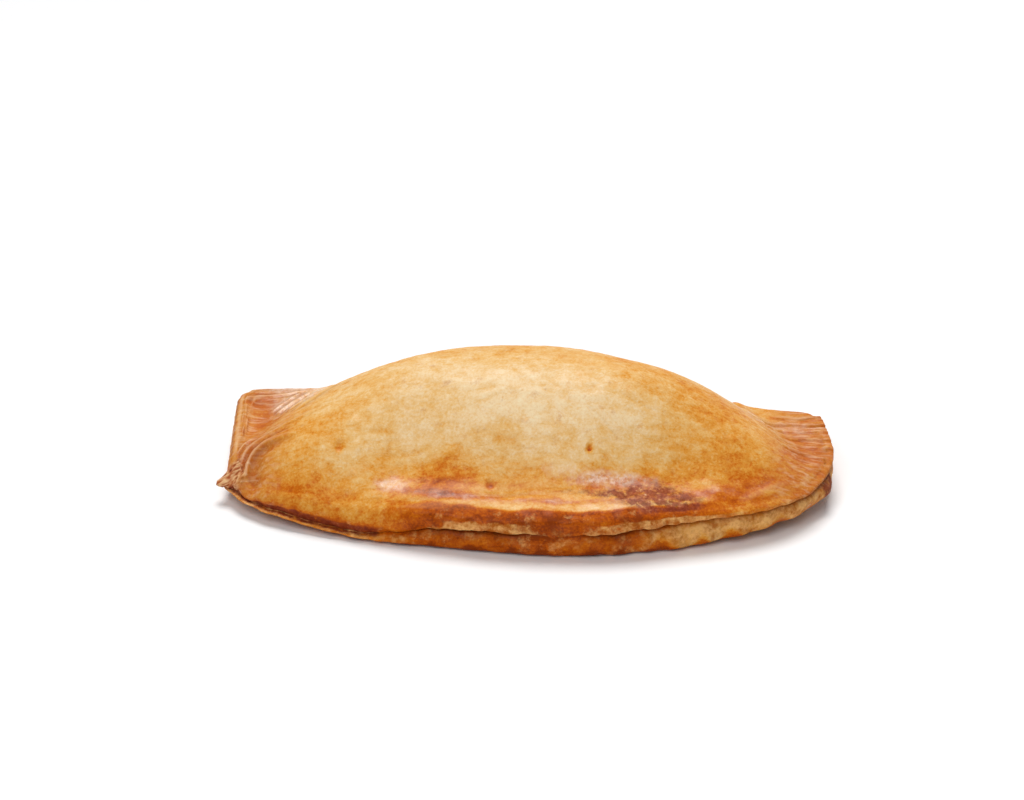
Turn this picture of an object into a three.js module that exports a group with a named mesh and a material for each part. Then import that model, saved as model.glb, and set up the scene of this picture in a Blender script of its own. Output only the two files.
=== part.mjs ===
// A baked half-moon empanada: one sheet of dough folded over at the back, pressed shut in
// two layers along the curved front and the two square ends, and puffed up in between.
// Millimetres, +Z up. X runs along the length, -Y is the curved sealed front, +Y the fold.
// Plan sizes are measured from a point near the middle; the finished solid is then moved
// so that the origin is the middle of its underside.
import * as THREE from 'three';

// ---- plan: the line where the upper crust ends and the rim turns down -------------------
const REACH = { left: 76.1, right: 76.4 }; // from the middle to either square end
const END_SLANT = { left: 3.4, right: 2.6 }; // left runs in at the front, right at the fold
const CREST_X = 8.3; // where the front arc reaches furthest
const FRONT_REACH = 52.6;
const BOW = { left: 18.9, right: 19.1, power: 1.7 }; // how far the arc sweeps back
const HOOK = { left: 7.5, right: 13.6, power: 13 }; // its quick turn into the ends
const FOLD_Y = { left: 12.8, right: 6.5, bulge: 6.2 };
const CORNER = { frontLeft: 3, frontRight: 7, backLeft: 7.5, backRight: 8 };
const CORNER_DEPTH = 21; // half the depth of a square end
const CORNER_PULL = 1 - Math.SQRT1_2; // how far a round corner stays inside a sharp one

// ---- heights ----------------------------------------------------------------------------
const PEAK = 33;
const RIM = { thick: 12.1, taperFrom: 0.35, taperOver: 0.6 }; // sealed front edge
const TAIL = { thick: 7, lift: 3.5 }; // pressed ends, curled clear of the floor
const LIFT_FROM = { left: 0.38, right: 0.45 }; // share of the reach at which they leave it
const FOLD_Z = 9.6; // height of the fold's furthest line
const DOME = { x: 2.1, power: 2.32, crown: 0.57, slope: 1.9, blend: 0.05 };
const SPAN = { frontLeft: 90.9, frontRight: 80.9, backLeft: 57.3, backRight: 52.1 };
const SPAN_ZONE = { from: -45, depth: 55, most: 1.2 }; // the dome's span narrows over this depth
// Width of the flat band inside the front lip. It has one value over the middle and fades to
// another towards either end, like the three sizes of the rim that are given the same way.
const SHELF = { left: 1, middle: 11, right: 4, leftFrom: -25, rightFrom: 35, fadeOver: 30 };
const SHELF_SOFT = 2.5;
const FOLD_SQUARENESS = { tail: 5, dome: 2, over: 0.2 }; // the tails stay flat right up to the fold
const UNDER = { dome: 9, tail: 3 }; // inset of the fold's round underside

// ---- rim --------------------------------------------------------------------------------
const LIP_OUT = 1.8; // either layer's bulge past the crust's edge
const LEFT_LIP_OUT = 2.2; // the left end is cut at a slant, so its layers show
// The crust rounds down to its edge: how far it falls, and over which width.
const LIP_FALL = { left: 4.4, middle: 1.9, right: 1.6, leftFrom: -8, rightFrom: 34, fadeOver: 40 };
const LIP_ROUND = { left: 12, middle: 5.5, right: 5, leftFrom: -8, rightFrom: 34, fadeOver: 40 };
// Leftward the crust rolls over the rim, and the seam turns into a shallow groove in its foot,
// with the lower layer standing out below it.
const TUCK = { out: 1.8, from: -10, over: 32, sag: 1.3, upperShare: 0.4, lowerShare: 1.05, seamShare: 1.6 };
// Squareness of each layer's upper and lower half, 2 for a round one. To the right the upper
// layer is cut straight down.
const UPPER_SHOULDER = { left: 2, right: 3.6, from: -40, over: 30 };
const UPPER_FACE = { left: 1.4, right: 5, from: -40, over: 30 };
const LOWER_SHOULDER = 2;
const LOWER_FACE = { left: 2, right: 3, from: -40, over: 30 };
const LIP_WAVER = { height: 0.25, length: 31 };
// The seam's height as a share of the rim.
const SEAM_LEVEL = { left: 0.16, middle: 0.57, right: 0.76, leftFrom: -12, rightFrom: 16, fadeOver: 34 };
const SEAM_DEPTH = 0.9;
const SEAM_CLOSED = { x: 10, width: 11, fill: 2.8 }; // the layers are fused here, out towards the lip
const SEAM_OPEN = { x: -8, width: 7, rightFrom: 30, rightOver: 12, rightShare: 0.4, extra: 0.8 };
const SEAM_WAVER = { share: 0.3, length: 38 };
const FOOT_IN = 1.6; // the lower layer's edge turns in to the underside
// The lower layer bulges in puffs, a short and a long wave of them, stronger to the right.
const PUFFS = { left: 0.15, right: 0.7, from: 10, over: 30, short: 7.2, long: 17, longShare: 0.35 };
const LAMINAE = { count: 4, depth: 0.32 }; // thin layers in the slanted left end
const TIP = { x: -72.2, y: -28.6, out: 3.7, width: 1.7, level: 0.4 }; // torn flake of crust
const CHIP = { x: 73, y: -25, out: 0.9, width: 3.2, level: 0.3 };
const FLAKE_SPREAD = 0.25;

// ---- relief of the upper crust ----------------------------------------------------------
// The rim ends at the left corner in this S-shaped bead, with a valley between it and the dome.
const LEFT_BEAD = {
  path: [[-69.4, -38], [-70.2, -31], [-68.6, -26], [-64, -24.3], [-56, -26]],
  height: 0.8,
  width: 1.1,
  valleyDepth: 1.3,
  valleyPlace: 2.3, // distance of the valley's deepest line
  valleyWidth: 1.7,
  fade: 0.45, // share of its length over which it dies out inward
};
const LEFT_HOLLOW = { x: -69.2, y: -9, reachX: 4.6, reachY: 13, depth: 1.4 };
const RIGHT_HOLLOW = { x: 66, y: -1, reachX: 7, reachY: 6, depth: 0.6 };
// Wrinkles where the left tail was pinched.
const WRINKLES = [
  { path: [[-75, 5], [-70.5, 6.8], [-65, 7.4], [-59, 10]], height: 0.6, width: 1.2 },
  { path: [[-66, -3.5], [-57.5, 7.5]], height: 0.6, width: 1.0 },
  { path: [[-62.5, -6], [-54, 3.5]], height: 0.45, width: 1.0 },
  { path: [[-60, -12], [-50, -3]], height: 0.4, width: 1.2 },
];
const WRINKLE_END = 0.2; // share of a wrinkle's length over which it rises
// Pleats across the right tail, drawn out along X and drifting towards the fold.
const PLEATS = { count: 6, y: 1.5, pitch: 4.1, height: 0.35, x: 60, run: 9, drift: 0.16, margin: 0.6 };
const PLEAT_SWAY = { height: 0.6, length: 25 };
// Soft unevenness of the filling under the crust: plane waves of these lengths along X and Y.
const LUMPS = [
  { height: 0.13, lengthX: 52, lengthY: 38, phase: 1.0 },
  { height: 0.13, lengthX: 52, lengthY: -38, phase: 2.9 },
  { height: 0.17, lengthX: 33, lengthY: -46, phase: 0 },
];
const SHELF_RIPPLE = { height: 0.28, length: 21, wander: 0.8, wanderLength: 44, inset: 6, width: 5 };
const FOLD_CALM = 0.12; // relief dies out over this share of the depth at the fold

// ---- mesh density -----------------------------------------------------------------------
const COLUMNS = 78;
const ROWS = 33;
const UPPER_RINGS = 5;
const LOWER_RINGS = 4;
const CROWDING = { ends: 0.6, fold: 0.85 }; // how strongly the grid lines crowd there
const LEFT_END = { from: 0.975, over: 0.02, corner: 0.2 }; // where the slanted cut begins
const FOLD_CORNER = 0.18; // share of the depth over which rim turns into fold
const MIDDLE_LINE = 0.8; // the underside's middle line, as a share of the length

const CRUST_COLOUR = 0xdda65b;

// ---- small helpers ----------------------------------------------------------------------
const mix = (a, b, t) => a + (b - a) * t;
const clamp = (t, low = 0, high = 1) => Math.min(high, Math.max(low, t));
const bell = (t) => Math.exp(-t * t);
const softRamp = (t, soft) => (t > 30 * soft ? t : soft * Math.log1p(Math.exp(t / soft)));
const wave = (x, length, phase = 0) => Math.sin((2 * Math.PI * x) / length + phase);
function smooth(t) {
  const c = clamp(t);
  return c * c * (3 - 2 * c);
}
// A size that turns from its left value to its right one.
const rightward = ({ left, right, from, over }, x) => mix(left, right, smooth((x - from) / over));
// A size with one value over the middle that fades to another towards either end.
function course({ left, middle, right, leftFrom, rightFrom, fadeOver }, x) {
  if (x < 0) return mix(middle, left, smooth((leftFrom - x) / fadeOver));
  return mix(middle, right, smooth((x - rightFrom) / fadeOver));
}

// ---- plan -------------------------------------------------------------------------------
function frontY(x) {
  const side = x < CREST_X ? 'left' : 'right';
  const reach = side === 'left' ? CREST_X + REACH.left : REACH.right - CREST_X;
  const t = Math.abs(x - CREST_X) / reach;
  return -FRONT_REACH + BOW[side] * t ** BOW.power + HOOK[side] * t ** HOOK.power;
}

function foldY(x) {
  const w = (x + REACH.left) / (REACH.left + REACH.right);
  return mix(FOLD_Y.left, FOLD_Y.right, w) + FOLD_Y.bulge * clamp(1 - (2 * w - 1) ** 2);
}

// u runs from the left end (-1) to the right (1), v from the front (-1) to the fold (1).
// The square is given round corners first and is then bent to the front arc and the fold.
function planPoint(u, v) {
  const halfLength = (REACH.left + REACH.right) / 2;
  const radius = CORNER[(v < 0 ? 'front' : 'back') + (u < 0 ? 'Left' : 'Right')];
  const pullX = (CORNER_PULL * radius) / halfLength;
  const pullY = (CORNER_PULL * radius) / CORNER_DEPTH;
  const sharp = Math.sqrt((1 - pullX) * (1 - pullY)) / CORNER_PULL;
  const p = u * (1 - pullX * Math.abs(v) ** ((sharp * CORNER_DEPTH) / radius));
  const q = v * (1 - pullY * Math.abs(u) ** ((sharp * halfLength) / radius));
  const depth = (q + 1) / 2;
  const x = p < 0 ? p * REACH.left : p * REACH.right;
  const slant = p < 0 ? END_SLANT.left * (1 - depth) : -END_SLANT.right * depth;
  return { x: x + slant * Math.abs(p) ** HOOK.power, y: mix(frontY(x), foldY(x), depth) };
}

const endness = (x) => Math.abs(x) / (x < 0 ? REACH.left : REACH.right);
function floorClearance(x) {
  const from = x < 0 ? LIFT_FROM.left : LIFT_FROM.right;
  return TAIL.lift * smooth((endness(x) - from) / (1 - from));
}

// ---- relief -----------------------------------------------------------------------------
// Distance to a bent line through a few points, how far along it the nearest place is,
// and on which side the point lies.
function nearestOnPath(x, y, path) {
  let best = { distance: Infinity, along: 0, side: 1 };
  for (let i = 0; i < path.length - 1; i++) {
    const [ax, ay] = path[i];
    const [dx, dy] = [path[i + 1][0] - ax, path[i + 1][1] - ay];
    const t = clamp(((x - ax) * dx + (y - ay) * dy) / (dx * dx + dy * dy));
    const [ex, ey] = [x - ax - t * dx, y - ay - t * dy];
    const distance = Math.hypot(ex, ey);
    if (distance < best.distance) {
      best = { distance, along: (i + t) / (path.length - 1), side: Math.sign(dx * ey - dy * ex) };
    }
  }
  return best;
}

function hollowDepth({ x: cx, y: cy, reachX, reachY, depth }, x, y) {
  return depth * bell(Math.hypot((x - cx) / reachX, (y - cy) / reachY));
}

function leftBead(x, y) {
  const { distance, along, side } = nearestOnPath(x, y, LEFT_BEAD.path);
  const { height, width, valleyDepth, valleyPlace, valleyWidth, fade } = LEFT_BEAD;
  const fromValley = side < 0 ? distance - valleyPlace : valleyPlace;
  const outside = side < 0 ? 1 : bell(distance);
  const valley = valleyDepth * bell(fromValley / valleyWidth) * outside;
  return smooth((1 - along) / fade) * (height * bell(distance / width) - valley);
}

function pleats(x, y) {
  const { count, margin } = PLEATS;
  const shift = PLEAT_SWAY.height * wave(x, PLEAT_SWAY.length) + PLEATS.drift * (x - PLEATS.x);
  const row = (PLEATS.y - y + shift) / PLEATS.pitch;
  const inside = smooth(2 * row + margin) * smooth(2 * (count - row) + margin);
  return PLEATS.height * inside * smooth((x - PLEATS.x) / PLEATS.run) * Math.cos(2 * Math.PI * row);
}

function wrinkles(x, y) {
  let sum = 0;
  for (const { path, height, width } of WRINKLES) {
    const { distance, along } = nearestOnPath(x, y, path);
    const ends = smooth(along / WRINKLE_END) * smooth((1 - along) / WRINKLE_END);
    sum += height * bell(distance / width) * ends;
  }
  return sum;
}

function unevenness(x, y) {
  const { height, length, wander, wanderLength, inset, width } = SHELF_RIPPLE;
  const onShelf = bell((y - frontY(x) - inset) / width);
  let sum = height * onShelf * wave(x, length, wander * wave(x, wanderLength));
  for (const lump of LUMPS) sum += lump.height * wave(x / lump.lengthX + y / lump.lengthY, 1, lump.phase);
  return sum;
}

function relief(x, y) {
  const hollows = hollowDepth(LEFT_HOLLOW, x, y) + hollowDepth(RIGHT_HOLLOW, x, y);
  return leftBead(x, y) + pleats(x, y) + wrinkles(x, y) + unevenness(x, y) - hollows;
}

// ---- upper crust ------------------------------------------------------------------------
// How fully the filling lifts the crust: 1 over the middle, 0 on the pressed tails.
function domePresence(x, y) {
  const w = clamp((y - SPAN_ZONE.from) / SPAN_ZONE.depth, 0, SPAN_ZONE.most);
  const end = x < DOME.x ? 'Left' : 'Right';
  const span = mix(SPAN['front' + end], SPAN['back' + end], w);
  return clamp(softRamp(1 - (Math.abs(x - DOME.x) / span) ** DOME.power, DOME.blend));
}

// How far the crust has rounded down, at a distance inside the front edge.
function lipDrop(x, inset) {
  const width = course(LIP_ROUND, x);
  return course(LIP_FALL, x) * Math.max(0, (width - inset) / (width + LIP_OUT)) ** 2;
}

// Flat shelf inside the lip, rise to the crown, and a rounded fall to the fold.
function crustHeight(x, y) {
  const [front, back] = [frontY(x), foldY(x)];
  const shelf = front + course(SHELF, x);
  const crown = mix(front, back, DOME.crown);
  const tailTop = TAIL.lift + TAIL.thick;
  const rimTop = mix(RIM.thick, tailTop, smooth((endness(x) - RIM.taperFrom) / RIM.taperOver));
  const dome = domePresence(x, y);
  if (y > crown) {
    const tailMiddle = floorClearance(x) + TAIL.thick / 2;
    const squareness = mix(FOLD_SQUARENESS.tail, FOLD_SQUARENESS.dome, smooth(dome / FOLD_SQUARENESS.over));
    const backness = clamp((y - crown) / (back - crown));
    const fall = (1 - backness ** squareness) ** (1 / squareness);
    const foldZ = mix(tailMiddle, FOLD_Z, dome);
    return mix(mix(tailMiddle, rimTop, fall), mix(foldZ, PEAK, fall), dome);
  }
  const climbed = softRamp(y - shelf, SHELF_SOFT) / softRamp(crown - shelf, SHELF_SOFT);
  const rise = 1 - (1 - clamp(climbed)) ** DOME.slope;
  return mix(rimTop, mix(rimTop, PEAK, rise), dome) - lipDrop(x, y - front);
}

function topPoint(u, v) {
  const { x, y } = planPoint(u, v);
  return new THREE.Vector3(x, y, crustHeight(x, y) + relief(x, y) * smooth((1 - v) / FOLD_CALM));
}

// ---- rim --------------------------------------------------------------------------------
// One layer's edge as a squarish half round: its bulge, and its side from 1 (top) to -1.
function layerEdge(angle, shoulder, face) {
  const power = 2 / (angle > 0 ? shoulder : face);
  const bulge = Math.max(0, Math.cos(angle)) ** power;
  const side = Math.sign(Math.sin(angle)) * Math.abs(Math.sin(angle)) ** power;
  return { bulge, side };
}

// How far the two layers bulge, and how deep the seam between them is, along the rim.
function lipShape(x, leftEnd) {
  const waver = wave(x, LIP_WAVER.length);
  const puffs = wave(x, PUFFS.short, waver / 2) / 2 + PUFFS.longShare * wave(x, PUFFS.long);
  const puffy = mix(PUFFS.left, PUFFS.right, smooth((x - PUFFS.from) / PUFFS.over));
  const tucked = TUCK.out * smooth((TUCK.from - x) / TUCK.over) * (1 - leftEnd);
  const out = mix(LIP_OUT, LEFT_LIP_OUT, leftEnd);
  const uneven = 1 - SEAM_WAVER.share * (1 - wave(x, SEAM_WAVER.length));
  const rightOpen = SEAM_OPEN.rightShare * smooth((x - SEAM_OPEN.rightFrom) / SEAM_OPEN.rightOver) * uneven;
  const open = bell((x - SEAM_OPEN.x) / SEAM_OPEN.width) + rightOpen;
  const closed = SEAM_CLOSED.fill * bell((x - SEAM_CLOSED.x) / SEAM_CLOSED.width);
  return {
    upper: out + TUCK.upperShare * tucked - LIP_WAVER.height * waver,
    lower: out + TUCK.lowerShare * tucked + puffy * puffs,
    seam: SEAM_DEPTH * (1 - closed) + SEAM_OPEN.extra * open - TUCK.seamShare * tucked,
    sag: mix(1, TUCK.sag, tucked / TUCK.out),
  };
}

function flake(spec, x, y, level) {
  const near = bell(Math.hypot(x - spec.x, y - spec.y) / spec.width);
  return spec.out * near * bell((level - spec.level) / FLAKE_SPREAD);
}

// Rim section of the sealed front and ends: outward offset and height share, top to foot.
function sealedSection(x, y, leftEnd) {
  const { upper, lower, seam, sag } = lipShape(x, leftEnd);
  const split = course(SEAM_LEVEL, x);
  const section = [];
  for (let i = 1; i <= UPPER_RINGS; i++) {
    const angle = Math.PI * (0.5 - i / UPPER_RINGS);
    const { bulge, side } = layerEdge(angle, rightward(UPPER_SHOULDER, x), rightward(UPPER_FACE, x));
    const out = side > 0 ? upper * bulge : (upper + seam) * bulge - seam;
    section.push({ out, level: split + (1 - split) * ((1 + side) / 2) ** sag });
  }
  for (let i = 1; i <= LOWER_RINGS; i++) {
    const angle = Math.PI * (0.5 - i / LOWER_RINGS);
    const { bulge, side } = layerEdge(angle, LOWER_SHOULDER, rightward(LOWER_FACE, x));
    const out = side > 0 ? (lower + seam) * bulge - seam : (lower + FOOT_IN) * bulge - FOOT_IN;
    section.push({ out, level: (split * (1 + side)) / 2 });
  }
  for (const ring of section) {
    const layers = LAMINAE.depth * wave(LAMINAE.count * ring.level, 1) * Math.sin(Math.PI * ring.level);
    ring.out += leftEnd * layers + flake(TIP, x, y, ring.level) + flake(CHIP, x, y, ring.level);
  }
  return section;
}

// Section of the fold: a quarter roll from its furthest line in to the underside.
function foldedSection(x, y) {
  const inset = mix(UNDER.tail, UNDER.dome, domePresence(x, y));
  const rings = UPPER_RINGS + LOWER_RINGS;
  return Array.from({ length: rings }, (_, i) => {
    const angle = ((i + 1) / rings) * (Math.PI / 2);
    return { out: -inset * (1 - Math.cos(angle)), level: 1 - Math.sin(angle) };
  });
}

// ---- the whole solid --------------------------------------------------------------------
function gridLines() {
  const sine = (t) => Math.sin((t * Math.PI) / 2);
  const us = Array.from({ length: COLUMNS + 1 }, (_, i) => {
    const t = (2 * i) / COLUMNS - 1;
    return mix(t, sine(t), CROWDING.ends);
  });
  const vs = Array.from({ length: ROWS + 1 }, (_, j) => {
    const t = j / ROWS;
    return 2 * mix(t, sine(t), CROWDING.fold) - 1;
  });
  return { us, vs };
}

// The grid's boundary, anticlockwise from the front left corner.
function boundary() {
  const front = Array.from({ length: COLUMNS }, (_, k) => [k, 0]);
  const right = Array.from({ length: ROWS }, (_, k) => [COLUMNS, k]);
  const back = Array.from({ length: COLUMNS }, (_, k) => [COLUMNS - k, ROWS]);
  const left = Array.from({ length: ROWS }, (_, k) => [0, ROWS - k]);
  return [...front, ...right, ...back, ...left];
}

function buildEmpanada() {
  const { us, vs } = gridLines();
  const points = [];
  const faces = [];
  // A quad is split along its shorter diagonal, which keeps narrow ridges whole.
  const quad = (a, b, c, d) => {
    const straight = points[a].distanceTo(points[c]) <= points[b].distanceTo(points[d]);
    faces.push(...(straight ? [a, b, c, a, c, d] : [a, b, d, b, c, d]));
  };

  // upper crust
  const topIndex = (i, j) => i * (ROWS + 1) + j;
  for (const u of us) for (const v of vs) points.push(topPoint(u, v));
  for (let i = 0; i < COLUMNS; i++) {
    for (let j = 0; j < ROWS; j++) {
      quad(topIndex(i, j), topIndex(i + 1, j), topIndex(i + 1, j + 1), topIndex(i, j + 1));
    }
  }

  // rim: rings of the boundary, each moved out or in along the plan's normal
  const edge = boundary();
  const around = edge.length;
  const rings = UPPER_RINGS + LOWER_RINGS;
  const ringStart = points.length;
  edge.forEach(([i, j], k) => {
    const here = points[topIndex(i, j)];
    const before = points[topIndex(...edge[(k + around - 1) % around])];
    const after = points[topIndex(...edge[(k + 1) % around])];
    const along = new THREE.Vector2(after.x - before.x, after.y - before.y).normalize();
    const folded = smooth((vs[j] - 1 + FOLD_CORNER) / FOLD_CORNER);
    const atEnd = smooth((-us[i] - LEFT_END.from) / LEFT_END.over);
    const sealed = sealedSection(here.x, here.y, atEnd * smooth((vs[j] + 1) / LEFT_END.corner));
    const roll = foldedSection(here.x, here.y);
    const [split, inset] = [course(SEAM_LEVEL, here.x), here.y - frontY(here.x)];
    for (let ring = 0; ring < rings; ring++) {
      const out = mix(sealed[ring].out, roll[ring].out, folded);
      const level = mix(sealed[ring].level, roll[ring].level, folded);
      const drop = lipDrop(here.x, inset - out) - lipDrop(here.x, inset);
      const z = mix(floorClearance(here.x), here.z, level) - drop * clamp((level - split) / (1 - split));
      points[ringStart + ring * around + k] =
        new THREE.Vector3(here.x + along.y * out, here.y - along.x * out, z);
    }
  });
  const rimIndex = (ring, k) => {
    const [i, j] = edge[k % around];
    return ring < 0 ? topIndex(i, j) : ringStart + ring * around + (k % around);
  };
  for (let ring = 0; ring < rings; ring++) {
    for (let k = 0; k < around; k++) {
      quad(rimIndex(ring, k), rimIndex(ring, k + 1), rimIndex(ring - 1, k + 1), rimIndex(ring - 1, k));
    }
  }

  // underside: from the foot in to a middle line that the front and the fold share
  const middleStart = points.length;
  for (const u of us) {
    const { x, y } = planPoint(MIDDLE_LINE * u, 0);
    points.push(new THREE.Vector3(x, y, floorClearance(x)));
  }
  for (let k = 0; k < around; k++) {
    const [here, next] = [edge[k][0], edge[(k + 1) % around][0]];
    const [foot, nextFoot] = [rimIndex(rings - 1, k), rimIndex(rings - 1, k + 1)];
    faces.push(foot, middleStart + here, nextFoot);
    if (here !== next) faces.push(middleStart + here, middleStart + next, nextFoot);
  }

  const geometry = new THREE.BufferGeometry().setFromPoints(points);
  geometry.setIndex(faces);
  geometry.computeBoundingBox();
  const { min, max } = geometry.boundingBox;
  geometry.translate(-(min.x + max.x) / 2, -(min.y + max.y) / 2, -min.z);
  geometry.computeVertexNormals();
  return geometry;
}

const crust = new THREE.MeshStandardMaterial({ color: CRUST_COLOUR, roughness: 0.45, metalness: 0 });
const empanada = new THREE.Mesh(buildEmpanada(), crust);
empanada.name = 'empanada';

const part = new THREE.Group();
part.add(empanada);
export default part;
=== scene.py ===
"""A whole baked empanada: one sheet of dough, folded at the back and pressed shut in front.

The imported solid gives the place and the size. The crust is made again here as one fine mesh of
the same form, with the wrinkles, pleats, blisters and cut layers that a coarse solid can't hold,
and is finished as egg-washed dough. Plan measures are millimetres from the point that the form
is drawn around; the finished mesh is moved onto the solid and into metres at the end.
"""

import logging
import math
from dataclasses import dataclass, field
from enum import Enum
from functools import partial

import bpy
import numpy as np
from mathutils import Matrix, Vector


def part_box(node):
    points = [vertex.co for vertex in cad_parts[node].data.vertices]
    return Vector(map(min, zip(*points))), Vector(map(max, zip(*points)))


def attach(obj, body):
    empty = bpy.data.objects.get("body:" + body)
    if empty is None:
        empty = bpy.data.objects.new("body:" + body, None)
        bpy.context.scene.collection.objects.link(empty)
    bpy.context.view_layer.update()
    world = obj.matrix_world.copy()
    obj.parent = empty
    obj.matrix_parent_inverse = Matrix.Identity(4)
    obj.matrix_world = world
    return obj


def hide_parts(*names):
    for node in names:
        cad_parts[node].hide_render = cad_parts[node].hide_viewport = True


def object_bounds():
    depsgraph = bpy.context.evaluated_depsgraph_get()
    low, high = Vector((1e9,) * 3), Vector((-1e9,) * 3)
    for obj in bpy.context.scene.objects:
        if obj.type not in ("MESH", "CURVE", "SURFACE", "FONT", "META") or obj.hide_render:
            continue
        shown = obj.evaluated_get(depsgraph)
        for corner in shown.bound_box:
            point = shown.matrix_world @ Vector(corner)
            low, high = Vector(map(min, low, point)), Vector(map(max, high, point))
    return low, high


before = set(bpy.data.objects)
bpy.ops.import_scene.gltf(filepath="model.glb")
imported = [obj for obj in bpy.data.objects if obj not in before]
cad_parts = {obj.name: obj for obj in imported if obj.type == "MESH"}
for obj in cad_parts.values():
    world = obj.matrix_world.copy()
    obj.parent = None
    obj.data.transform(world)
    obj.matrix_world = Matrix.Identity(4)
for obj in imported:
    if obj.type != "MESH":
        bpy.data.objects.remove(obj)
CAD_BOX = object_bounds()

LOG = logging.getLogger("empanada")
NODE = "empanada"
BODY = "root"
MM = 0.001  # metres in a millimetre
PEEL_SHADE = "peel"  # painted shade of the orange peel's pits and creases, kept on the mesh
SHRED_SHADE = "shred_relief_and_shade"  # and the painted light and shade of the torn shreds

Array = np.ndarray
Path = tuple[tuple[float, float], ...]


# ---- numbers along a surface -------------------------------------------------------------
def mix(a: Array, b: Array, t: Array) -> Array:
    """Runs straight from a, where t is 0, to b, where t is 1."""
    return a + (b - a) * t


def smooth(t: Array) -> Array:
    """Rises from 0 to 1 with no kink, and stays level outside."""
    c = np.clip(t, 0.0, 1.0)
    return c * c * (3.0 - 2.0 * c)


def bell(t: Array) -> Array:
    """A round bump that is 1 at t = 0 and gone by t = 2."""
    return np.exp(-np.square(t))


def wave(x: Array, length: float, phase: Array = 0.0) -> Array:
    """A sine wave of a given length."""
    return np.sin(2.0 * np.pi * x / length + phase)


def soft_ramp(t: Array, soft: float) -> Array:
    """Zero below t = 0 and t above it, with the corner rounded over the length soft."""
    return soft * np.logaddexp(0.0, t / soft)


def soft_corner(a: Array, b: Array, radius: float) -> Array:
    """Distance inside a corner's two sides, which turn into each other round a radius."""
    inside = np.hypot(np.clip(radius - a, 0.0, None), np.clip(radius - b, 0.0, None))
    return np.where((a < radius) & (b < radius), radius - inside, np.minimum(a, b))


def rounded(path: Path, rounds: int = 3) -> Array:
    """Cuts the corners of a bent line until it is a curve.

    Args:
        path: The line's points.
        rounds: How often the corners are cut.

    Returns:
        The points of the curve, with the first and the last one kept.
    """
    points = np.array(path, float)
    for _ in range(rounds):
        near = 0.75 * points[:-1] + 0.25 * points[1:]
        far = 0.25 * points[:-1] + 0.75 * points[1:]
        middle = np.stack([near, far], axis=1).reshape(-1, points.shape[1])
        points = np.vstack([points[:1], middle, points[-1:]])
    return points


def nearest_on_path(x: Array, y: Array, path: Path) -> tuple[Array, Array, Array]:
    """Measures points against a curve.

    Args:
        x: Positions along the length.
        y: Positions across it.
        path: The curve's corner points.

    Returns:
        The distance to the curve, how far along it the nearest place is from 0 to 1, and the
        side on which each point lies, 1 to the left of the curve's run and -1 to the right.
    """
    curve = rounded(path)
    count = len(curve) - 1
    distance = np.full(np.shape(x), np.inf)
    along = np.zeros(np.shape(x))
    side = np.ones(np.shape(x))
    for i in range(count):
        (ax, ay), (dx, dy) = curve[i], curve[i + 1] - curve[i]
        t = np.clip(((x - ax) * dx + (y - ay) * dy) / (dx * dx + dy * dy), 0.0, 1.0)
        ex, ey = x - ax - t * dx, y - ay - t * dy
        here = np.hypot(ex, ey)
        closer = here < distance
        distance = np.where(closer, here, distance)
        along = np.where(closer, (i + t) / count, along)
        side = np.where(closer, np.sign(dx * ey - dy * ex), side)
    return distance, along, side


@dataclass(frozen=True)
class Ends:
    """One size that differs between the left end and the right end."""

    left: float
    right: float

    def at(self, x: Array) -> Array:
        """The size on the side of the middle where x lies."""
        return np.where(x < 0.0, self.left, self.right)


@dataclass(frozen=True)
class Change:
    """A value that turns smoothly from one level to another along the length."""

    left: float
    right: float
    start: float
    over: float

    def at(self, x: Array) -> Array:
        """The value at x."""
        return mix(self.left, self.right, smooth((x - self.start) / self.over))


@dataclass(frozen=True)
class Course:
    """A value with one level over the middle that fades to another towards either end."""

    left: float
    middle: float
    right: float
    start: Ends  # how far out from the middle it begins to change
    over: float

    def at(self, x: Array) -> Array:
        """The value at x."""
        end = np.where(x < 0.0, self.left, self.right)
        return mix(self.middle, end, smooth((np.abs(x) - self.start.at(x)) / self.over))


@dataclass(frozen=True)
class Rise:
    """A smooth step from 0 to 1, which with a negative length grows the other way."""

    start: float
    over: float

    def at(self, x: Array) -> Array:
        """The share at x."""
        return smooth((x - self.start) / self.over)


@dataclass(frozen=True)
class Band:
    """A round bump from 0 to 1 and back."""

    place: float
    width: float

    def at(self, x: Array) -> Array:
        """The share at x."""
        return bell((x - self.place) / self.width)


@dataclass(frozen=True)
class Ripple:
    """A sine wave with a height."""

    height: float
    length: float

    def at(self, x: Array, phase: Array = 0.0) -> Array:
        """The height at x."""
        return self.height * wave(x, self.length, phase)


@dataclass(frozen=True)
class Swell:
    """A sine wave that runs slantwise over the plan."""

    height: float
    length_x: float
    length_y: float
    phase: float

    def at(self, x: Array, y: Array) -> Array:
        """The height at x and y."""
        return self.height * np.sin(2.0 * np.pi * (x / self.length_x + y / self.length_y) + self.phase)


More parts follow.
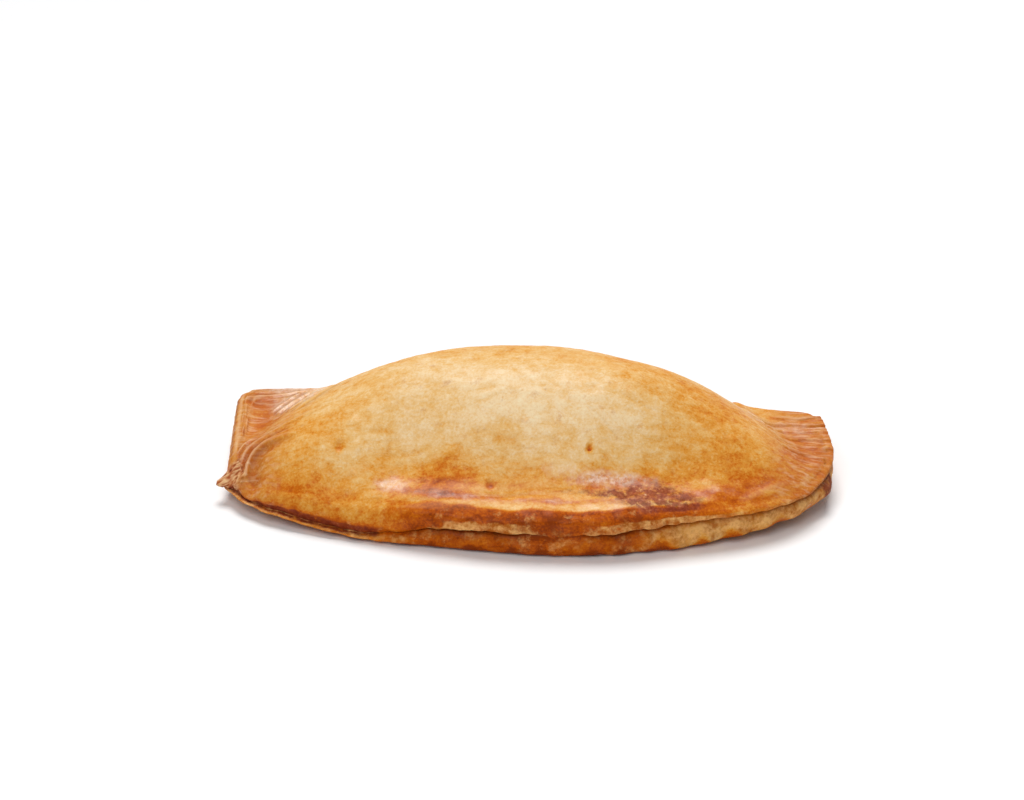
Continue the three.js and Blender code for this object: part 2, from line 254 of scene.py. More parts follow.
# ---- the form of the crust ---------------------------------------------------------------
@dataclass(frozen=True)
class CrustForm:
    """Plan, dome and rim heights of the folded dough, without its fine relief."""

    reach: Ends = Ends(76.1, 76.4)
    end_slant: Ends = Ends(3.4, 2.6)
    crest_x: float = 8.3
    front_reach: float = 52.6
    bow: Ends = Ends(18.9, 19.1)
    bow_power: float = 1.7
    hook: Ends = Ends(7.5, 13.6)
    hook_power: float = 13.0
    fold_y: Ends = Ends(12.8, 6.5)
    fold_bulge: float = 6.2
    corner_front: Ends = Ends(3.0, 7.0)
    corner_back: Ends = Ends(7.5, 8.0)
    corner_depth: float = 21.0
    peak: float = 33.0
    rim_thick: float = 12.1
    rim_taper: tuple[float, float] = (0.35, 0.6)
    tail_thick: float = 7.0
    tail_lift: float = 3.5
    tail_lift_from: Ends = Ends(0.38, 0.45)
    fold_z: float = 9.6
    dome_x: float = 2.1
    dome_power: float = 2.32
    dome_crown: float = 0.57
    dome_slope: float = 1.9
    dome_blend: float = 0.05
    span_front: Ends = Ends(90.9, 80.9)
    span_back: Ends = Ends(57.3, 52.1)
    span_zone: tuple[float, float, float] = (-45.0, 55.0, 1.2)
    shelf: Course = Course(1.0, 11.0, 4.0, Ends(25.0, 35.0), 30.0)  # flat band inside the lip
    shelf_soft: float = 2.5
    lip_out: float = 1.8
    lip_fall: Course = Course(4.4, 1.9, 1.6, Ends(8.0, 34.0), 40.0)  # the lip's edge rounds down
    lip_round: Course = Course(12.0, 5.5, 5.0, Ends(8.0, 34.0), 40.0)  # and over this width
    fold_squareness: tuple[float, float] = (5.0, 2.0)  # tails, dome
    fold_square_over: float = 0.2
    under_inset: tuple[float, float] = (3.0, 9.0)  # tails, dome

    def front_y(self, x: Array) -> Array:
        """Where the curved front lies."""
        span = np.where(x < self.crest_x, self.crest_x + self.reach.left, self.reach.right - self.crest_x)
        t = np.abs(x - self.crest_x) / span
        side = x - self.crest_x
        sweep = self.bow.at(side) * t**self.bow_power
        return sweep + self.hook.at(side) * t**self.hook_power - self.front_reach

    def fold_line(self, x: Array) -> Array:
        """Where the fold at the back lies."""
        w = (x + self.reach.left) / (self.reach.left + self.reach.right)
        bulge = self.fold_bulge * np.clip(1.0 - (2.0 * w - 1.0) ** 2, 0.0, 1.0)
        return mix(self.fold_y.left, self.fold_y.right, w) + bulge

    def plan(self, u: Array, v: Array) -> tuple[Array, Array]:
        """Bends a square with round corners to the front arc and the fold.

        Args:
            u: From -1 at the left end to 1 at the right end.
            v: From -1 at the front to 1 at the fold.

        Returns:
            x and y of each place.
        """
        corner_pull = 1.0 - math.sqrt(0.5)
        half = (self.reach.left + self.reach.right) / 2.0
        radius = np.where(v < 0.0, self.corner_front.at(u), self.corner_back.at(u))
        pull_x = corner_pull * radius / half
        pull_y = corner_pull * radius / self.corner_depth
        sharp = np.sqrt((1.0 - pull_x) * (1.0 - pull_y)) / corner_pull
        p = u * (1.0 - pull_x * np.abs(v) ** (sharp * self.corner_depth / radius))
        q = v * (1.0 - pull_y * np.abs(u) ** (sharp * half / radius))
        depth = (q + 1.0) / 2.0
        slant = np.where(p < 0.0, self.end_slant.left * (1.0 - depth), -self.end_slant.right * depth)
        x = p * self.reach.at(p)
        return x + slant * np.abs(p) ** self.hook_power, mix(self.front_y(x), self.fold_line(x), depth)

    def endness(self, x: Array) -> Array:
        """0 at the middle and 1 at either end."""
        return np.abs(x) / self.reach.at(x)

    def clearance(self, x: Array) -> Array:
        """How far the underside is clear of the floor."""
        start = self.tail_lift_from.at(x)
        return self.tail_lift * smooth((self.endness(x) - start) / (1.0 - start))

    def presence(self, x: Array, y: Array) -> Array:
        """How fully the filling lifts the crust, from 1 over the middle to 0 on the tails.

        Args:
            x: Positions along the length.
            y: Positions across it.

        Returns:
            The share by which it is lifted.
        """
        start, depth, most = self.span_zone
        w = np.clip((y - start) / depth, 0.0, most)
        side = x - self.dome_x
        span = mix(self.span_front.at(side), self.span_back.at(side), w)
        left = 1.0 - (np.abs(side) / span) ** self.dome_power
        return np.clip(soft_ramp(left, self.dome_blend), 0.0, 1.0)

    def lip_drop(self, x: Array, inset: Array) -> Array:
        """How far the crust has rounded down, at a distance inside the front edge.

        Args:
            x: Positions along the length.
            inset: Distances inside the front edge.

        Returns:
            The drop in millimetres.
        """
        width = self.lip_round.at(x)
        share = np.clip((width - inset) / (width + self.lip_out), 0.0, None)
        return self.lip_fall.at(x) * share**2

    def height(self, x: Array, y: Array) -> Array:
        """Height of the crust: shelf, rise to the crown and rounded fall to the fold.

        Args:
            x: Positions along the length.
            y: Positions across it.

        Returns:
            The height in millimetres.
        """
        front, back = self.front_y(x), self.fold_line(x)
        crown = mix(front, back, self.dome_crown)
        taper = smooth((self.endness(x) - self.rim_taper[0]) / self.rim_taper[1])
        rim_top = mix(self.rim_thick, self.tail_lift + self.tail_thick, taper)
        dome = self.presence(x, y)
        start = front + self.shelf.at(x)
        climbed = soft_ramp(y - start, self.shelf_soft) / soft_ramp(crown - start, self.shelf_soft)
        rise = 1.0 - (1.0 - np.clip(climbed, 0.0, 1.0)) ** self.dome_slope
        fore = mix(rim_top, mix(rim_top, self.peak, rise), dome) - self.lip_drop(x, y - front)
        tail_middle = self.clearance(x) + self.tail_thick / 2.0
        squareness = mix(*self.fold_squareness, smooth(dome / self.fold_square_over))
        back_share = np.clip((y - crown) / (back - crown), 0.0, 1.0)
        fall = (1.0 - back_share**squareness) ** (1.0 / squareness)
        fold_z = mix(tail_middle, self.fold_z, dome)
        aft = mix(mix(tail_middle, rim_top, fall), mix(fold_z, self.peak, fall), dome)
        return np.where(y > crown, aft, fore)


# ---- relief of the upper crust -----------------------------------------------------------
CREST_HIGHLIGHT = 1.6  # painted highlight on a raised line's crest
FOOT_SHADE_WIDTH = 2.2  # width of the painted shade at its foot, in widths of the crest
BURST_EDGE = Band(1.15, 0.3)  # raised edge of a burst bubble, in radii from its middle
BURST_SHARE = 0.35  # and its height as a share of the pit's depth


@dataclass(frozen=True)
class Ridge:
    """A raised line in the dough. A negative height makes it a crease."""

    path: Path
    height: float
    width: float
    ends: float = 0.2
    full_tone: float = 0.5  # height at which its crest gets the full painted highlight

    def at(self, x: Array, y: Array) -> tuple[Array, Array]:
        """What the line does to the crust.

        Args:
            x: Positions along the length.
            y: Positions across it.

        Returns:
            The height that it adds, and its painted light and shade, from 1 for a painted highlight on the
            crest to -1 for painted shade at the foot.
        """
        distance, along, _ = nearest_on_path(x, y, self.path)
        fade = smooth(along / self.ends) * smooth((1.0 - along) / self.ends)
        crest = bell(distance / self.width)
        contrast = np.clip(self.height / self.full_tone, -1.0, 1.0)
        tone = contrast * (CREST_HIGHLIGHT * crest - bell(distance / (FOOT_SHADE_WIDTH * self.width)))
        return self.height * crest * fade, tone * fade


@dataclass(frozen=True)
class Spot:
    """An oval place on the crust, where something is stronger or weaker."""

    x: float
    y: float
    reach_x: float
    reach_y: float
    amount: float
    turn: float = 0.0  # degrees

    def at(self, x: Array, y: Array) -> Array:
        """The amount, fading from the middle of the spot outwards.

        Args:
            x: Positions along the length.
            y: Positions across it.

        Returns:
            The amount at each position.
        """
        c, s = math.cos(math.radians(self.turn)), math.sin(math.radians(self.turn))
        dx, dy = x - self.x, y - self.y
        along, across = (c * dx + s * dy) / self.reach_x, (c * dy - s * dx) / self.reach_y
        return self.amount * bell(np.hypot(along, across))


@dataclass(frozen=True)
class Blister:
    """A small bubble, or with a negative height a burst one: a pit with a raised edge."""

    x: float
    y: float
    radius: float
    height: float

    def at(self, x: Array, y: Array) -> Array:
        """Height that the bubble adds."""
        r = np.hypot(x - self.x, y - self.y) / self.radius
        edge = BURST_SHARE * abs(self.height) * BURST_EDGE.at(r)
        return self.height * bell(r**2) + (edge if self.height < 0.0 else 0.0)


LEFT_WRINKLES = (
    Ridge(((-75.0, 5.0), (-70.5, 6.8), (-65.0, 7.4), (-59.0, 10.0)), 0.5, 0.7),
    Ridge(((-66.0, -3.5), (-57.5, 7.5)), 0.75, 0.7),
    Ridge(((-67.5, -1.0), (-60.5, 8.5)), 0.35, 0.45),
    Ridge(((-64.4, -5.4), (-55.6, 6.0)), 0.4, 0.45),
    Ridge(((-62.5, -6.0), (-54.0, 3.5)), 0.6, 0.6),
    Ridge(((-60.0, -12.0), (-50.0, -3.0)), 0.4, 1.1),
    Ridge(((-58.6, -10.0), (-51.0, -1.0)), 0.25, 0.5),
    Ridge(((-72.0, -32.0), (-71.6, -26.0), (-68.6, -21.6), (-60.0, -19.6), (-49.7, -18.0)), 0.45, 0.6, 0.45),
    Ridge(((-73.4, -30.0), (-73.0, -25.0), (-71.4, -20.0), (-67.0, -16.6)), 0.4, 0.5, 0.45),
    Ridge(((-74.6, -28.0), (-74.2, -22.0), (-73.4, -15.5), (-73.0, -8.0)), 0.35, 0.45, 0.45),
    Ridge(((-71.6, -33.5), (-71.0, -28.6), (-69.6, -24.4), (-64.6, -22.2), (-57.0, -22.4)), -0.5, 0.5, 0.3),
    Ridge(((-73.0, -27.0), (-72.0, -23.0), (-69.4, -19.9), (-64.0, -18.2)), -0.35, 0.4, 0.3),
)
RIGHT_WRINKLES = (
    Ridge(((74.2, -6.0), (76.0, -9.0), (76.2, -15.0), (72.0, -16.4)), 0.35, 0.7, 0.3),
    Ridge(((52.0, 3.0), (58.0, -3.0), (66.0, -9.0)), 0.3, 0.9, 0.4),
    Ridge(((49.0, 1.5), (56.0, -5.5), (63.0, -10.5)), 0.2, 0.6, 0.4),
    Ridge(((53.0, -42.5), (60.0, -37.5), (66.0, -33.0)), 0.22, 1.2, 0.4),
)
DOME_WRINKLES = (
    Ridge(((15.5, -26.5), (19.5, -29.0), (24.0, -33.0)), -0.16, 0.5, 0.3),
    Ridge(((23.0, -22.0), (29.0, -24.5), (34.0, -25.0)), -0.12, 0.5, 0.3),
    Ridge(((-33.0, -46.5), (-20.0, -46.0), (-4.0, -45.0), (12.0, -44.6)), -0.25, 1.4, 0.3),
)
BLISTERS = (
    Blister(-45.8, -32.8, 1.3, -0.5),
    Blister(-41.4, -33.1, 1.2, 0.35),
    Blister(-42.9, -27.6, 1.5, 0.2),
    Blister(-18.3, -36.0, 1.9, 0.3),
    Blister(-7.8, -42.0, 1.3, -0.6),
    Blister(16.2, -34.7, 0.7, -0.75),
    Blister(-6.6, -38.6, 1.0, 0.2),
    Blister(33.5, -38.2, 1.3, 0.25),
    Blister(-44.0, -41.5, 1.4, 0.25),
    Blister(52.0, -27.0, 1.5, 0.22),
    Blister(4.5, -16.0, 1.4, 0.16),
    Blister(-28.0, -6.0, 1.6, 0.18),
    Blister(25.0, 6.0, 1.7, 0.2),
)


@dataclass(frozen=True)
class Relief:
    """Everything that makes the upper crust uneven by more than half a millimetre."""

    lobe_path: Path = ((-69.4, -38.0), (-70.2, -31.0), (-68.6, -26.0), (-64.0, -24.3), (-56.0, -26.0))
    lobe_valley: tuple[float, float, float] = (1.3, 2.3, 1.7)  # depth, distance and width
    lobe_bead: tuple[float, float] = (0.9, 0.65)  # height and width
    lobe_fade: float = 0.45
    lobe_shading: tuple[float, float] = (1.8, 0.3)  # painted highlight on the bead, and painted shade in the valley
    pleat_count: int = 11
    pleat_first: float = 2.5  # y of the pleat nearest the fold
    pleat_pitch: float = 2.15
    pleat_shift: float = 0.5  # how far one may lie from its place
    pleat_height: float = 0.36
    pleat_width: float = 0.62
    pleat_run: tuple[float, float] = (59.0, 77.5)  # from x to x
    pleat_start: tuple[float, float] = (-2.0, 5.0)  # how much earlier or later one may begin
    pleat_points: int = 5
    pleat_wander: float = 1.1
    pleat_drift: float = 0.1
    pleat_bold: tuple[float, float] = (0.8, 1.35)  # share of the height for every second one
    pleat_faint: tuple[float, float] = (0.3, 0.6)  # and for the others
    pleat_widths: tuple[float, float] = (0.75, 1.5)
    pleat_fade: float = 0.22
    pleat_full_tone: float = 1.1
    pleat_foot: tuple[float, float, float] = (1.5, 0.8, 0.6)  # offset, depth and width in shares
    edge_layers: tuple[float, ...] = (0.3, 1.2, 2.2)  # insets of the lines along the left end
    edge_layer_height: float = 0.3
    edge_layer_width: float = 0.34
    edge_bead: tuple[float, float, float] = (1.0, 1.5, 0.5)  # inset, width and height
    edge_turn: float = 4.0  # radius with which the lines turn from the end along the fold
    edge_spread: float = 3.0  # how much further apart they lie there
    edge_run: float = 17.0  # and how far they run on
    edge_shading: tuple[float, float] = (1.2, 0.7)  # painted highlight on a line, and painted shade beside it
    edge_wander: tuple[float, float, float] = (0.18, 1.5, -0.3)  # height, length, change of length
    edge_breaks: tuple[float, float, float] = (0.4, 0.5, 0.11)  # the same for how it fades in places
    edge_phase: float = 2.0  # how far each line's waves are ahead of the last one's
    edge_shown: Rise = Rise(-0.6, 0.3)
    seed: int = 5
    hollows: tuple[Spot, ...] = (Spot(-69.2, -9.0, 4.6, 13.0, 1.4), Spot(66.0, -1.0, 7.0, 6.0, 0.6))
    shelf_ripple: Ripple = Ripple(0.28, 21.0)
    shelf_sway: Ripple = Ripple(0.8, 44.0)  # what makes the ripple's length uneven
    shelf_band: Band = Band(6.0, 5.0)  # inset and width of the ripple
    lumps: tuple[Swell, ...] = (
        Swell(0.13, 52.0, 38.0, 1.0),
        Swell(0.13, 52.0, -38.0, 2.9),
        Swell(0.17, 33.0, -46.0, 0.0),
    )
    back_fade: Rise = Rise(1.0, -0.12)

    def lobe(self, x: Array, y: Array) -> tuple[Array, Array]:
        """The S-shaped bead of the rim at the left corner, and the valley between it and the dome.

        Args:
            x: Positions along the length.
            y: Positions across it.

        Returns:
            The height that they add, and their painted highlight and shade.
        """
        distance, along, side = nearest_on_path(x, y, self.lobe_path)
        depth, place, reach = self.lobe_valley
        height, width = self.lobe_bead
        pale, dark = self.lobe_shading
        valley = depth * bell(np.where(side < 0.0, distance - place, place) / reach)
        valley = valley * np.where(side < 0.0, 1.0, bell(distance))
        bead = bell(distance / width)
        fade = smooth((1.0 - along) / self.lobe_fade)
        tone = pale * bead - bell(distance / (FOOT_SHADE_WIDTH * width)) - dark * valley
        return fade * (height * bead - valley), fade * tone

    def pleats(self) -> tuple[Ridge, ...]:
        """Pleats across the right tail, every second one bold, none quite like the next."""
        draw = np.random.default_rng(self.seed)
        start, end = self.pleat_run
        offset, depth, narrow = self.pleat_foot
        fading = (self.pleat_fade, self.pleat_full_tone)
        count = self.pleat_points
        made = []
        for k in range(self.pleat_count):
            y = self.pleat_first - k * self.pleat_pitch + draw.uniform(-self.pleat_shift, self.pleat_shift)
            drift = self.pleat_drift * (self.pleat_count / 2.0 - k)
            xs = np.linspace(start + draw.uniform(*self.pleat_start), end, count)
            ys = y + drift * np.linspace(0.0, 1.0, count) + draw.uniform(-1.0, 1.0, count) * self.pleat_wander
            height = self.pleat_height * draw.uniform(*(self.pleat_bold if k % 2 == 0 else self.pleat_faint))
            width = self.pleat_width * draw.uniform(*self.pleat_widths)
            made.append(Ridge(tuple(zip(xs, ys)), height, width, *fading))
            made.append(Ridge(tuple(zip(xs, ys - offset * width)), -depth * height, narrow * width, *fading))
        return tuple(made)

    def left_layers(self, u: Array, v: Array, form: CrustForm) -> tuple[Array, Array]:
        """A bead along the left end, with thin lines where layers of dough end on it.

        Args:
            u: From -1 at the left end to 1 at the right end.
            v: From -1 at the front to 1 at the fold.
            form: The form that they lie on.

        Returns:
            The height that they add, and their tone.
        """
        half = (form.reach.left + form.reach.right) / 2.0
        along, across = (u + 1.0) * half, (1.0 - v) * form.corner_depth
        inset = soft_corner(along, across / self.edge_spread, self.edge_turn)
        place, width, height = self.edge_bead
        total, tone = height * bell((inset - place) / width), 0.0 * inset
        pale, dark = self.edge_shading
        wander, wander_length, wander_change = self.edge_wander
        breaks, breaks_length, breaks_change = self.edge_breaks
        for k, place in enumerate(self.edge_layers):
            phase = self.edge_phase * k
            off = inset - place - wander * wave(v, wander_length + wander_change * k, phase)
            line = bell(off / self.edge_layer_width)
            strength = 1.0 - breaks + breaks * wave(v + u, breaks_length + breaks_change * k, phase)
            total = total + self.edge_layer_height * strength * line
            tone = tone + strength * (pale * line - dark * bell(off / (2.0 * self.edge_layer_width)))
        shown = self.edge_shown.at(v) * smooth((self.edge_run - along) / self.edge_run)
        return total * shown, tone * shown

    def unevenness(self, x: Array, y: Array, form: CrustForm) -> Array:
        """Soft lumps of the filling under the crust, and a ripple along the shelf.

        Args:
            x: Positions along the length.
            y: Positions across it.
            form: The form that they lie on.

        Returns:
            The height that they add.
        """
        on_shelf = self.shelf_band.at(y - form.front_y(x))
        ripple = on_shelf * self.shelf_ripple.at(x, self.shelf_sway.at(x))
        return ripple + sum(lump.at(x, y) for lump in self.lumps)

    def at(self, u: Array, v: Array, form: CrustForm) -> tuple[Array, Array]:
        """Height that the relief adds to the crust.

        Args:
            u: From -1 at the left end to 1 at the right end.
            v: From -1 at the front to 1 at the fold.
            form: The form that the relief lies on.

        Returns:
            The height in millimetres, and the painted light and shade, from 1 for a highlight on a crest to
            -1 for shade at a foot.
        """
        x, y = form.plan(u, v)
        total, tone = self.unevenness(x, y, form), 0.0 * x
        ridges = (*self.pleats(), *LEFT_WRINKLES, *RIGHT_WRINKLES, *DOME_WRINKLES)
        lines = [ridge.at(x, y) for ridge in ridges]
        for height, shade in (*lines, self.lobe(x, y), self.left_layers(u, v, form)):
            total, tone = total + height, tone + shade
        for blister in BLISTERS:
            total = total + blister.at(x, y)
        for hollow in self.hollows:
            total = total - hollow.at(x, y)
        return total * self.back_fade.at(v), tone


# ---- the rim -----------------------------------------------------------------------------
@dataclass(frozen=True)
class Flake:
    """A torn flake that stands out of the rim at one place and height."""

    x: float
    y: float
    out: float
    width: float
    level: float
    spread: float = 0.25

    def at(self, x: Array, y: Array, level: Array) -> Array:
        """How far it stands out."""
        near = bell(np.hypot(x - self.x, y - self.y) / self.width)
        return self.out * near * bell((level - self.level) / self.spread)


@dataclass(frozen=True)
class Rim:
    """The pressed edge: an upper and a lower layer with a seam between them."""

    upper_rings: int = 15
    lower_rings: int = 12
    lip_out: float = 1.8
    left_lip_out: float = 2.2
    lip_ripple: Ripple = Ripple(0.1, 5.3)
    sway_length: float = 31.0  # of the slow wave that the whole rim follows
    sway_out: float = 0.25
    tuck: Rise = Rise(-10.0, -32.0)  # where the upper layer leans out over the lower one
    tuck_out: float = 1.8
    tuck_shares: tuple[float, float, float] = (0.4, 1.05, 1.6)  # upper, lower and seam
    tuck_sag: float = 1.3
    shoulder: Change = Change(2.0, 3.6, -40.0, 30.0)  # squareness of the upper layer's top half
    cut_face: Change = Change(1.4, 5.0, -40.0, 30.0)  # and of its lower half, which is cut straight
    lower_top: float = 2.0
    lower_face: Change = Change(2.0, 3.0, -40.0, 30.0)
    seam_level: Course = Course(0.16, 0.57, 0.76, Ends(12.0, 16.0), 34.0)
    seam_ripple: Ripple = Ripple(0.02, 12.0)
    seam_jitter: Ripple = Ripple(0.012, 4.7)
    seam_depth: float = 0.9
    gape: float = 0.8  # how much deeper the seam is where it opened
    gape_left: Band = Band(-8.0, 7.0)
    gape_right: Rise = Rise(30.0, 12.0)
    gape_right_share: float = 0.4
    gape_ripple: Ripple = Ripple(0.3, 38.0)
    fused: Band = Band(10.0, 11.0)  # where the two layers ran together
    fused_fill: float = 2.8
    foot_in: float = 1.6
    puff: Change = Change(0.15, 0.7, 10.0, 30.0)
    puff_ripple: Ripple = Ripple(0.5, 7.2)
    puff_swell: Ripple = Ripple(0.35, 17.0)
    layers: tuple[float, float] = (5.0, 0.5)  # how many show in the left end, and their depth
    layer_ripple: Ripple = Ripple(0.3, 17.0)
    layer_mean: float = 0.33  # keeps their depth even about the rim's face
    flakes: tuple[Flake, ...] = (
        Flake(-72.2, -28.6, 3.7, 1.7, 0.4),
        Flake(73.0, -25.0, 0.9, 3.2, 0.3),
    )

    def half_round(self, rings: int, top: Array, bottom: Array) -> tuple[Array, Array]:
        """A layer's edge as a squarish half round.

        Args:
            rings: How many rings the section has.
            top: Squareness of its upper half along the rim, 2 for a round one.
            bottom: Squareness of its lower half.

        Returns:
            Bulge, and side from 1 (top) to -1 (bottom), each with one row for each ring.
        """
        angle = np.pi * (0.5 - np.arange(1, rings + 1)[:, None] / rings)
        power = 2.0 / np.where(angle > 0.0, top[None, :], bottom[None, :])
        bulge = np.clip(np.cos(angle), 0.0, 1.0) ** power
        return bulge, np.sign(np.sin(angle)) * np.abs(np.sin(angle)) ** power

    def sealed(self, x: Array, y: Array, left_end: Array) -> tuple[Array, Array]:
        """Section of the rim where the two layers are pressed together.

        Args:
            x: Positions along the length.
            y: Positions across it.
            left_end: 1 on the slanted left end and 0 elsewhere.

        Returns:
            How far out and how high each ring lies, as a share of the rim's height.
        """
        sway = wave(x, self.sway_length)
        puffs = self.puff_ripple.at(x, sway / 2.0) + self.puff_swell.at(x)
        tucked = self.tuck_out * self.tuck.at(x) * (1.0 - left_end)
        tuck_upper, tuck_lower, tuck_seam = self.tuck_shares
        out = mix(self.lip_out, self.left_lip_out, left_end)
        uneven = 1.0 - self.gape_ripple.height + self.gape_ripple.at(x)
        opened = self.gape_left.at(x) + self.gape_right_share * self.gape_right.at(x) * uneven
        closed = self.fused_fill * self.fused.at(x)
        upper = out + tuck_upper * tucked - self.sway_out * sway + self.lip_ripple.at(x, sway)
        lower = out + tuck_lower * tucked + self.puff.at(x) * puffs
        seam = self.seam_depth * (1.0 - closed) + self.gape * opened - tuck_seam * tucked
        sag = mix(1.0, self.tuck_sag, tucked / self.tuck_out)
        split = self.seam_level.at(x) + self.seam_ripple.at(x, sway) + self.seam_jitter.at(x)

        bulge, side = self.half_round(self.upper_rings, self.shoulder.at(x), self.cut_face.at(x))
        outs = [np.where(side > 0.0, upper * bulge, (upper + seam) * bulge - seam)]
        levels = [split + (1.0 - split) * ((1.0 + side) / 2.0) ** sag]
        bulge, side = self.half_round(self.lower_rings, self.lower_top + 0.0 * x, self.lower_face.at(x))
        inward = np.where(side > 0.0, seam, self.foot_in)
        outs.append((lower + inward) * bulge - inward)
        levels.append(split * (1.0 + side) / 2.0)
        out, level = np.vstack(outs), np.vstack(levels)
        count, depth = self.layers
        step = (count * level + self.layer_ripple.at(y)) % 1.0
        grooves = depth * (step**2 - self.layer_mean) * np.sin(np.pi * np.clip(level, 0.0, 1.0))
        return out - left_end * grooves + sum(flake.at(x, y, level) for flake in self.flakes), level

    def folded(self, inset: Array) -> tuple[Array, Array]:
        """Section of the fold: a quarter roll from its furthest line in to the underside.

        Args:
            inset: How far in the roll ends, for each place along the edge.

        Returns:
            How far out and how high each ring lies, as a share of the fold's height.
        """
        rings = self.upper_rings + self.lower_rings
        angle = np.arange(1, rings + 1)[:, None] / rings * (np.pi / 2.0)
        level = np.broadcast_to(1.0 - np.sin(angle), (rings, len(inset)))
        return -inset[None, :] * (1.0 - np.cos(angle)), level


# ---- where the oven browned it, with painted highlights and shade ------------------------
class Mark(Enum):
    """What is painted on the crust as a number from 0 to 1 for each point."""

    BAKE = "bake"  # how far the dough is browned
    CUT = "cut"  # cut dough without a skin
    GLAZE_AND_HIGHLIGHT = "glaze"  # how thick the egg wash lies: its gloss, and a painted highlight where it is thick
    BLUSH = "blush"  # the copper tone of the thin, dry tails
    CHAR = "char"  # dark sugar patches where the wash pooled
    CRACKLE = "crackle"  # where the wash blistered into small pebbles, with painted highlights on them
    LINE_SHADING = "fold"  # painted light and shade of a line in the dough: 0.5 is none, more is a painted highlight on its crest, less is painted shade at its foot
    TORN = "torn"  # where scraps of dough were torn loose
    GROOVE_SHADE = "groove"  # depth of the seam, where shade is painted
    SOLE = "sole"  # the underside that lay on the tray


BROWNING_AND_PAINTED_LIGHT = (
    # paler over the front of the dome: partly less browned, partly a painted highlight
    Spot(2.0, -27.0, 36.0, 13.0, -0.26),
    Spot(-17.0, -34.0, 14.0, 4.0, 0.06),
    Spot(-30.0, -14.0, 26.0, 14.0, -0.07),
    Spot(50.0, -25.0, 20.0, 15.0, 0.14),
    Spot(30.0, -8.0, 20.0, 10.0, 0.05),
    Spot(-58.0, -29.0, 12.0, 9.0, 0.1),
    # painted shade in the hollow of the left tail
    Spot(-69.0, -9.0, 4.0, 12.0, 0.24),
    Spot(-69.0, 3.5, 5.0, 2.6, 0.16),
    Spot(-33.0, -38.0, 9.0, 3.0, 0.14, -6.0),
    Spot(-21.0, -43.6, 10.0, 4.0, 0.24, -3.0),
    Spot(26.0, -41.4, 14.0, 3.0, 0.16),
    Spot(-44.0, -45.0, 4.0, 3.0, 0.08),
    Spot(-56.0, -41.0, 10.0, 2.4, 0.12, -32.0),
    Spot(-72.0, -29.0, 3.0, 6.0, 0.2),
    Spot(58.0, -36.0, 6.0, 4.0, 0.18, 25.0),
    Spot(50.5, -42.0, 5.5, 3.2, 0.24, 20.0),
    Spot(71.0, -14.0, 7.0, 12.0, 0.14),
    Spot(-18.3, -36.0, 2.6, 2.2, 0.16),
    Spot(-6.0, -32.0, 5.0, 2.6, 0.1),
    Spot(6.0, -32.5, 5.0, 2.2, 0.09),
    Spot(-12.0, -32.0, 3.0, 2.0, 0.1),
    Spot(10.0, -36.0, 3.0, 2.2, 0.1, 40.0),
    # painted shade in the pits of the three burst blisters
    Spot(16.2, -34.7, 0.8, 0.8, 0.7),
    Spot(-7.8, -42.2, 1.3, 1.0, 0.4),
    Spot(-45.8, -32.9, 1.3, 1.1, 0.25),
)
CHAR_SPOTS = (
    Spot(32.5, -44.8, 9.0, 4.6, 1.8, 2.0),
    Spot(18.0, -44.0, 10.0, 1.2, 0.7),
    Spot(37.5, -46.2, 6.0, 2.0, 0.75, 10.0),
    Spot(-21.0, -40.8, 9.0, 1.4, 0.6, -5.0),
    Spot(-28.0, -43.5, 3.0, 1.8, 0.4),
)
# where the wash lies thick: glossier, and with painted highlights where it is thickest
GLAZE_AND_HIGHLIGHT_SPOTS = (
    Spot(-33.0, -40.8, 4.6, 2.0, 0.65),
    Spot(22.0, -40.2, 11.0, 1.9, 0.95, 4.0),
    Spot(8.0, -38.6, 6.0, 1.2, 0.35, 4.0),
    Spot(28.0, -49.0, 14.0, 1.6, 0.4, 3.0),
    Spot(4.0, -25.6, 30.0, 10.0, 0.1),
    Spot(-60.5, 3.0, 7.5, 6.0, 1.3, 40.0),
    Spot(-64.0, 11.0, 10.0, 2.6, 1.1, 4.0),
    Spot(66.0, -3.0, 12.0, 5.0, 0.4),
    Spot(36.0, 4.0, 22.0, 7.0, 0.3, -20.0),
)
CRACKLE_SPOTS = (
    Spot(-22.7, -43.0, 8.0, 3.2, 1.2, -4.0),
    Spot(-13.0, -45.6, 10.0, 1.8, 0.7, 2.0),
    Spot(32.5, -43.6, 7.5, 3.4, 1.2),
    Spot(22.0, -40.2, 11.0, 1.9, 1.0, 4.0),
    Spot(4.0, -47.4, 22.0, 1.5, 0.8),
    Spot(-44.0, -41.5, 5.0, 3.0, 0.4),
)
TORN_SPOTS = (
    Spot(-74.0, -29.2, 2.6, 3.0, 1.4),
    Spot(-71.6, -33.0, 2.0, 2.2, 1.1),
)
CHIP_SPOT = Spot(73.5, -25.0, 3.0, 3.6, 1.5)  # a burnt nick in the right end


def together(spots: tuple[Spot, ...], x: Array, y: Array) -> Array:
    """What a group of spots amounts to at x and y."""
    return sum(spot.at(x, y) for spot in spots)


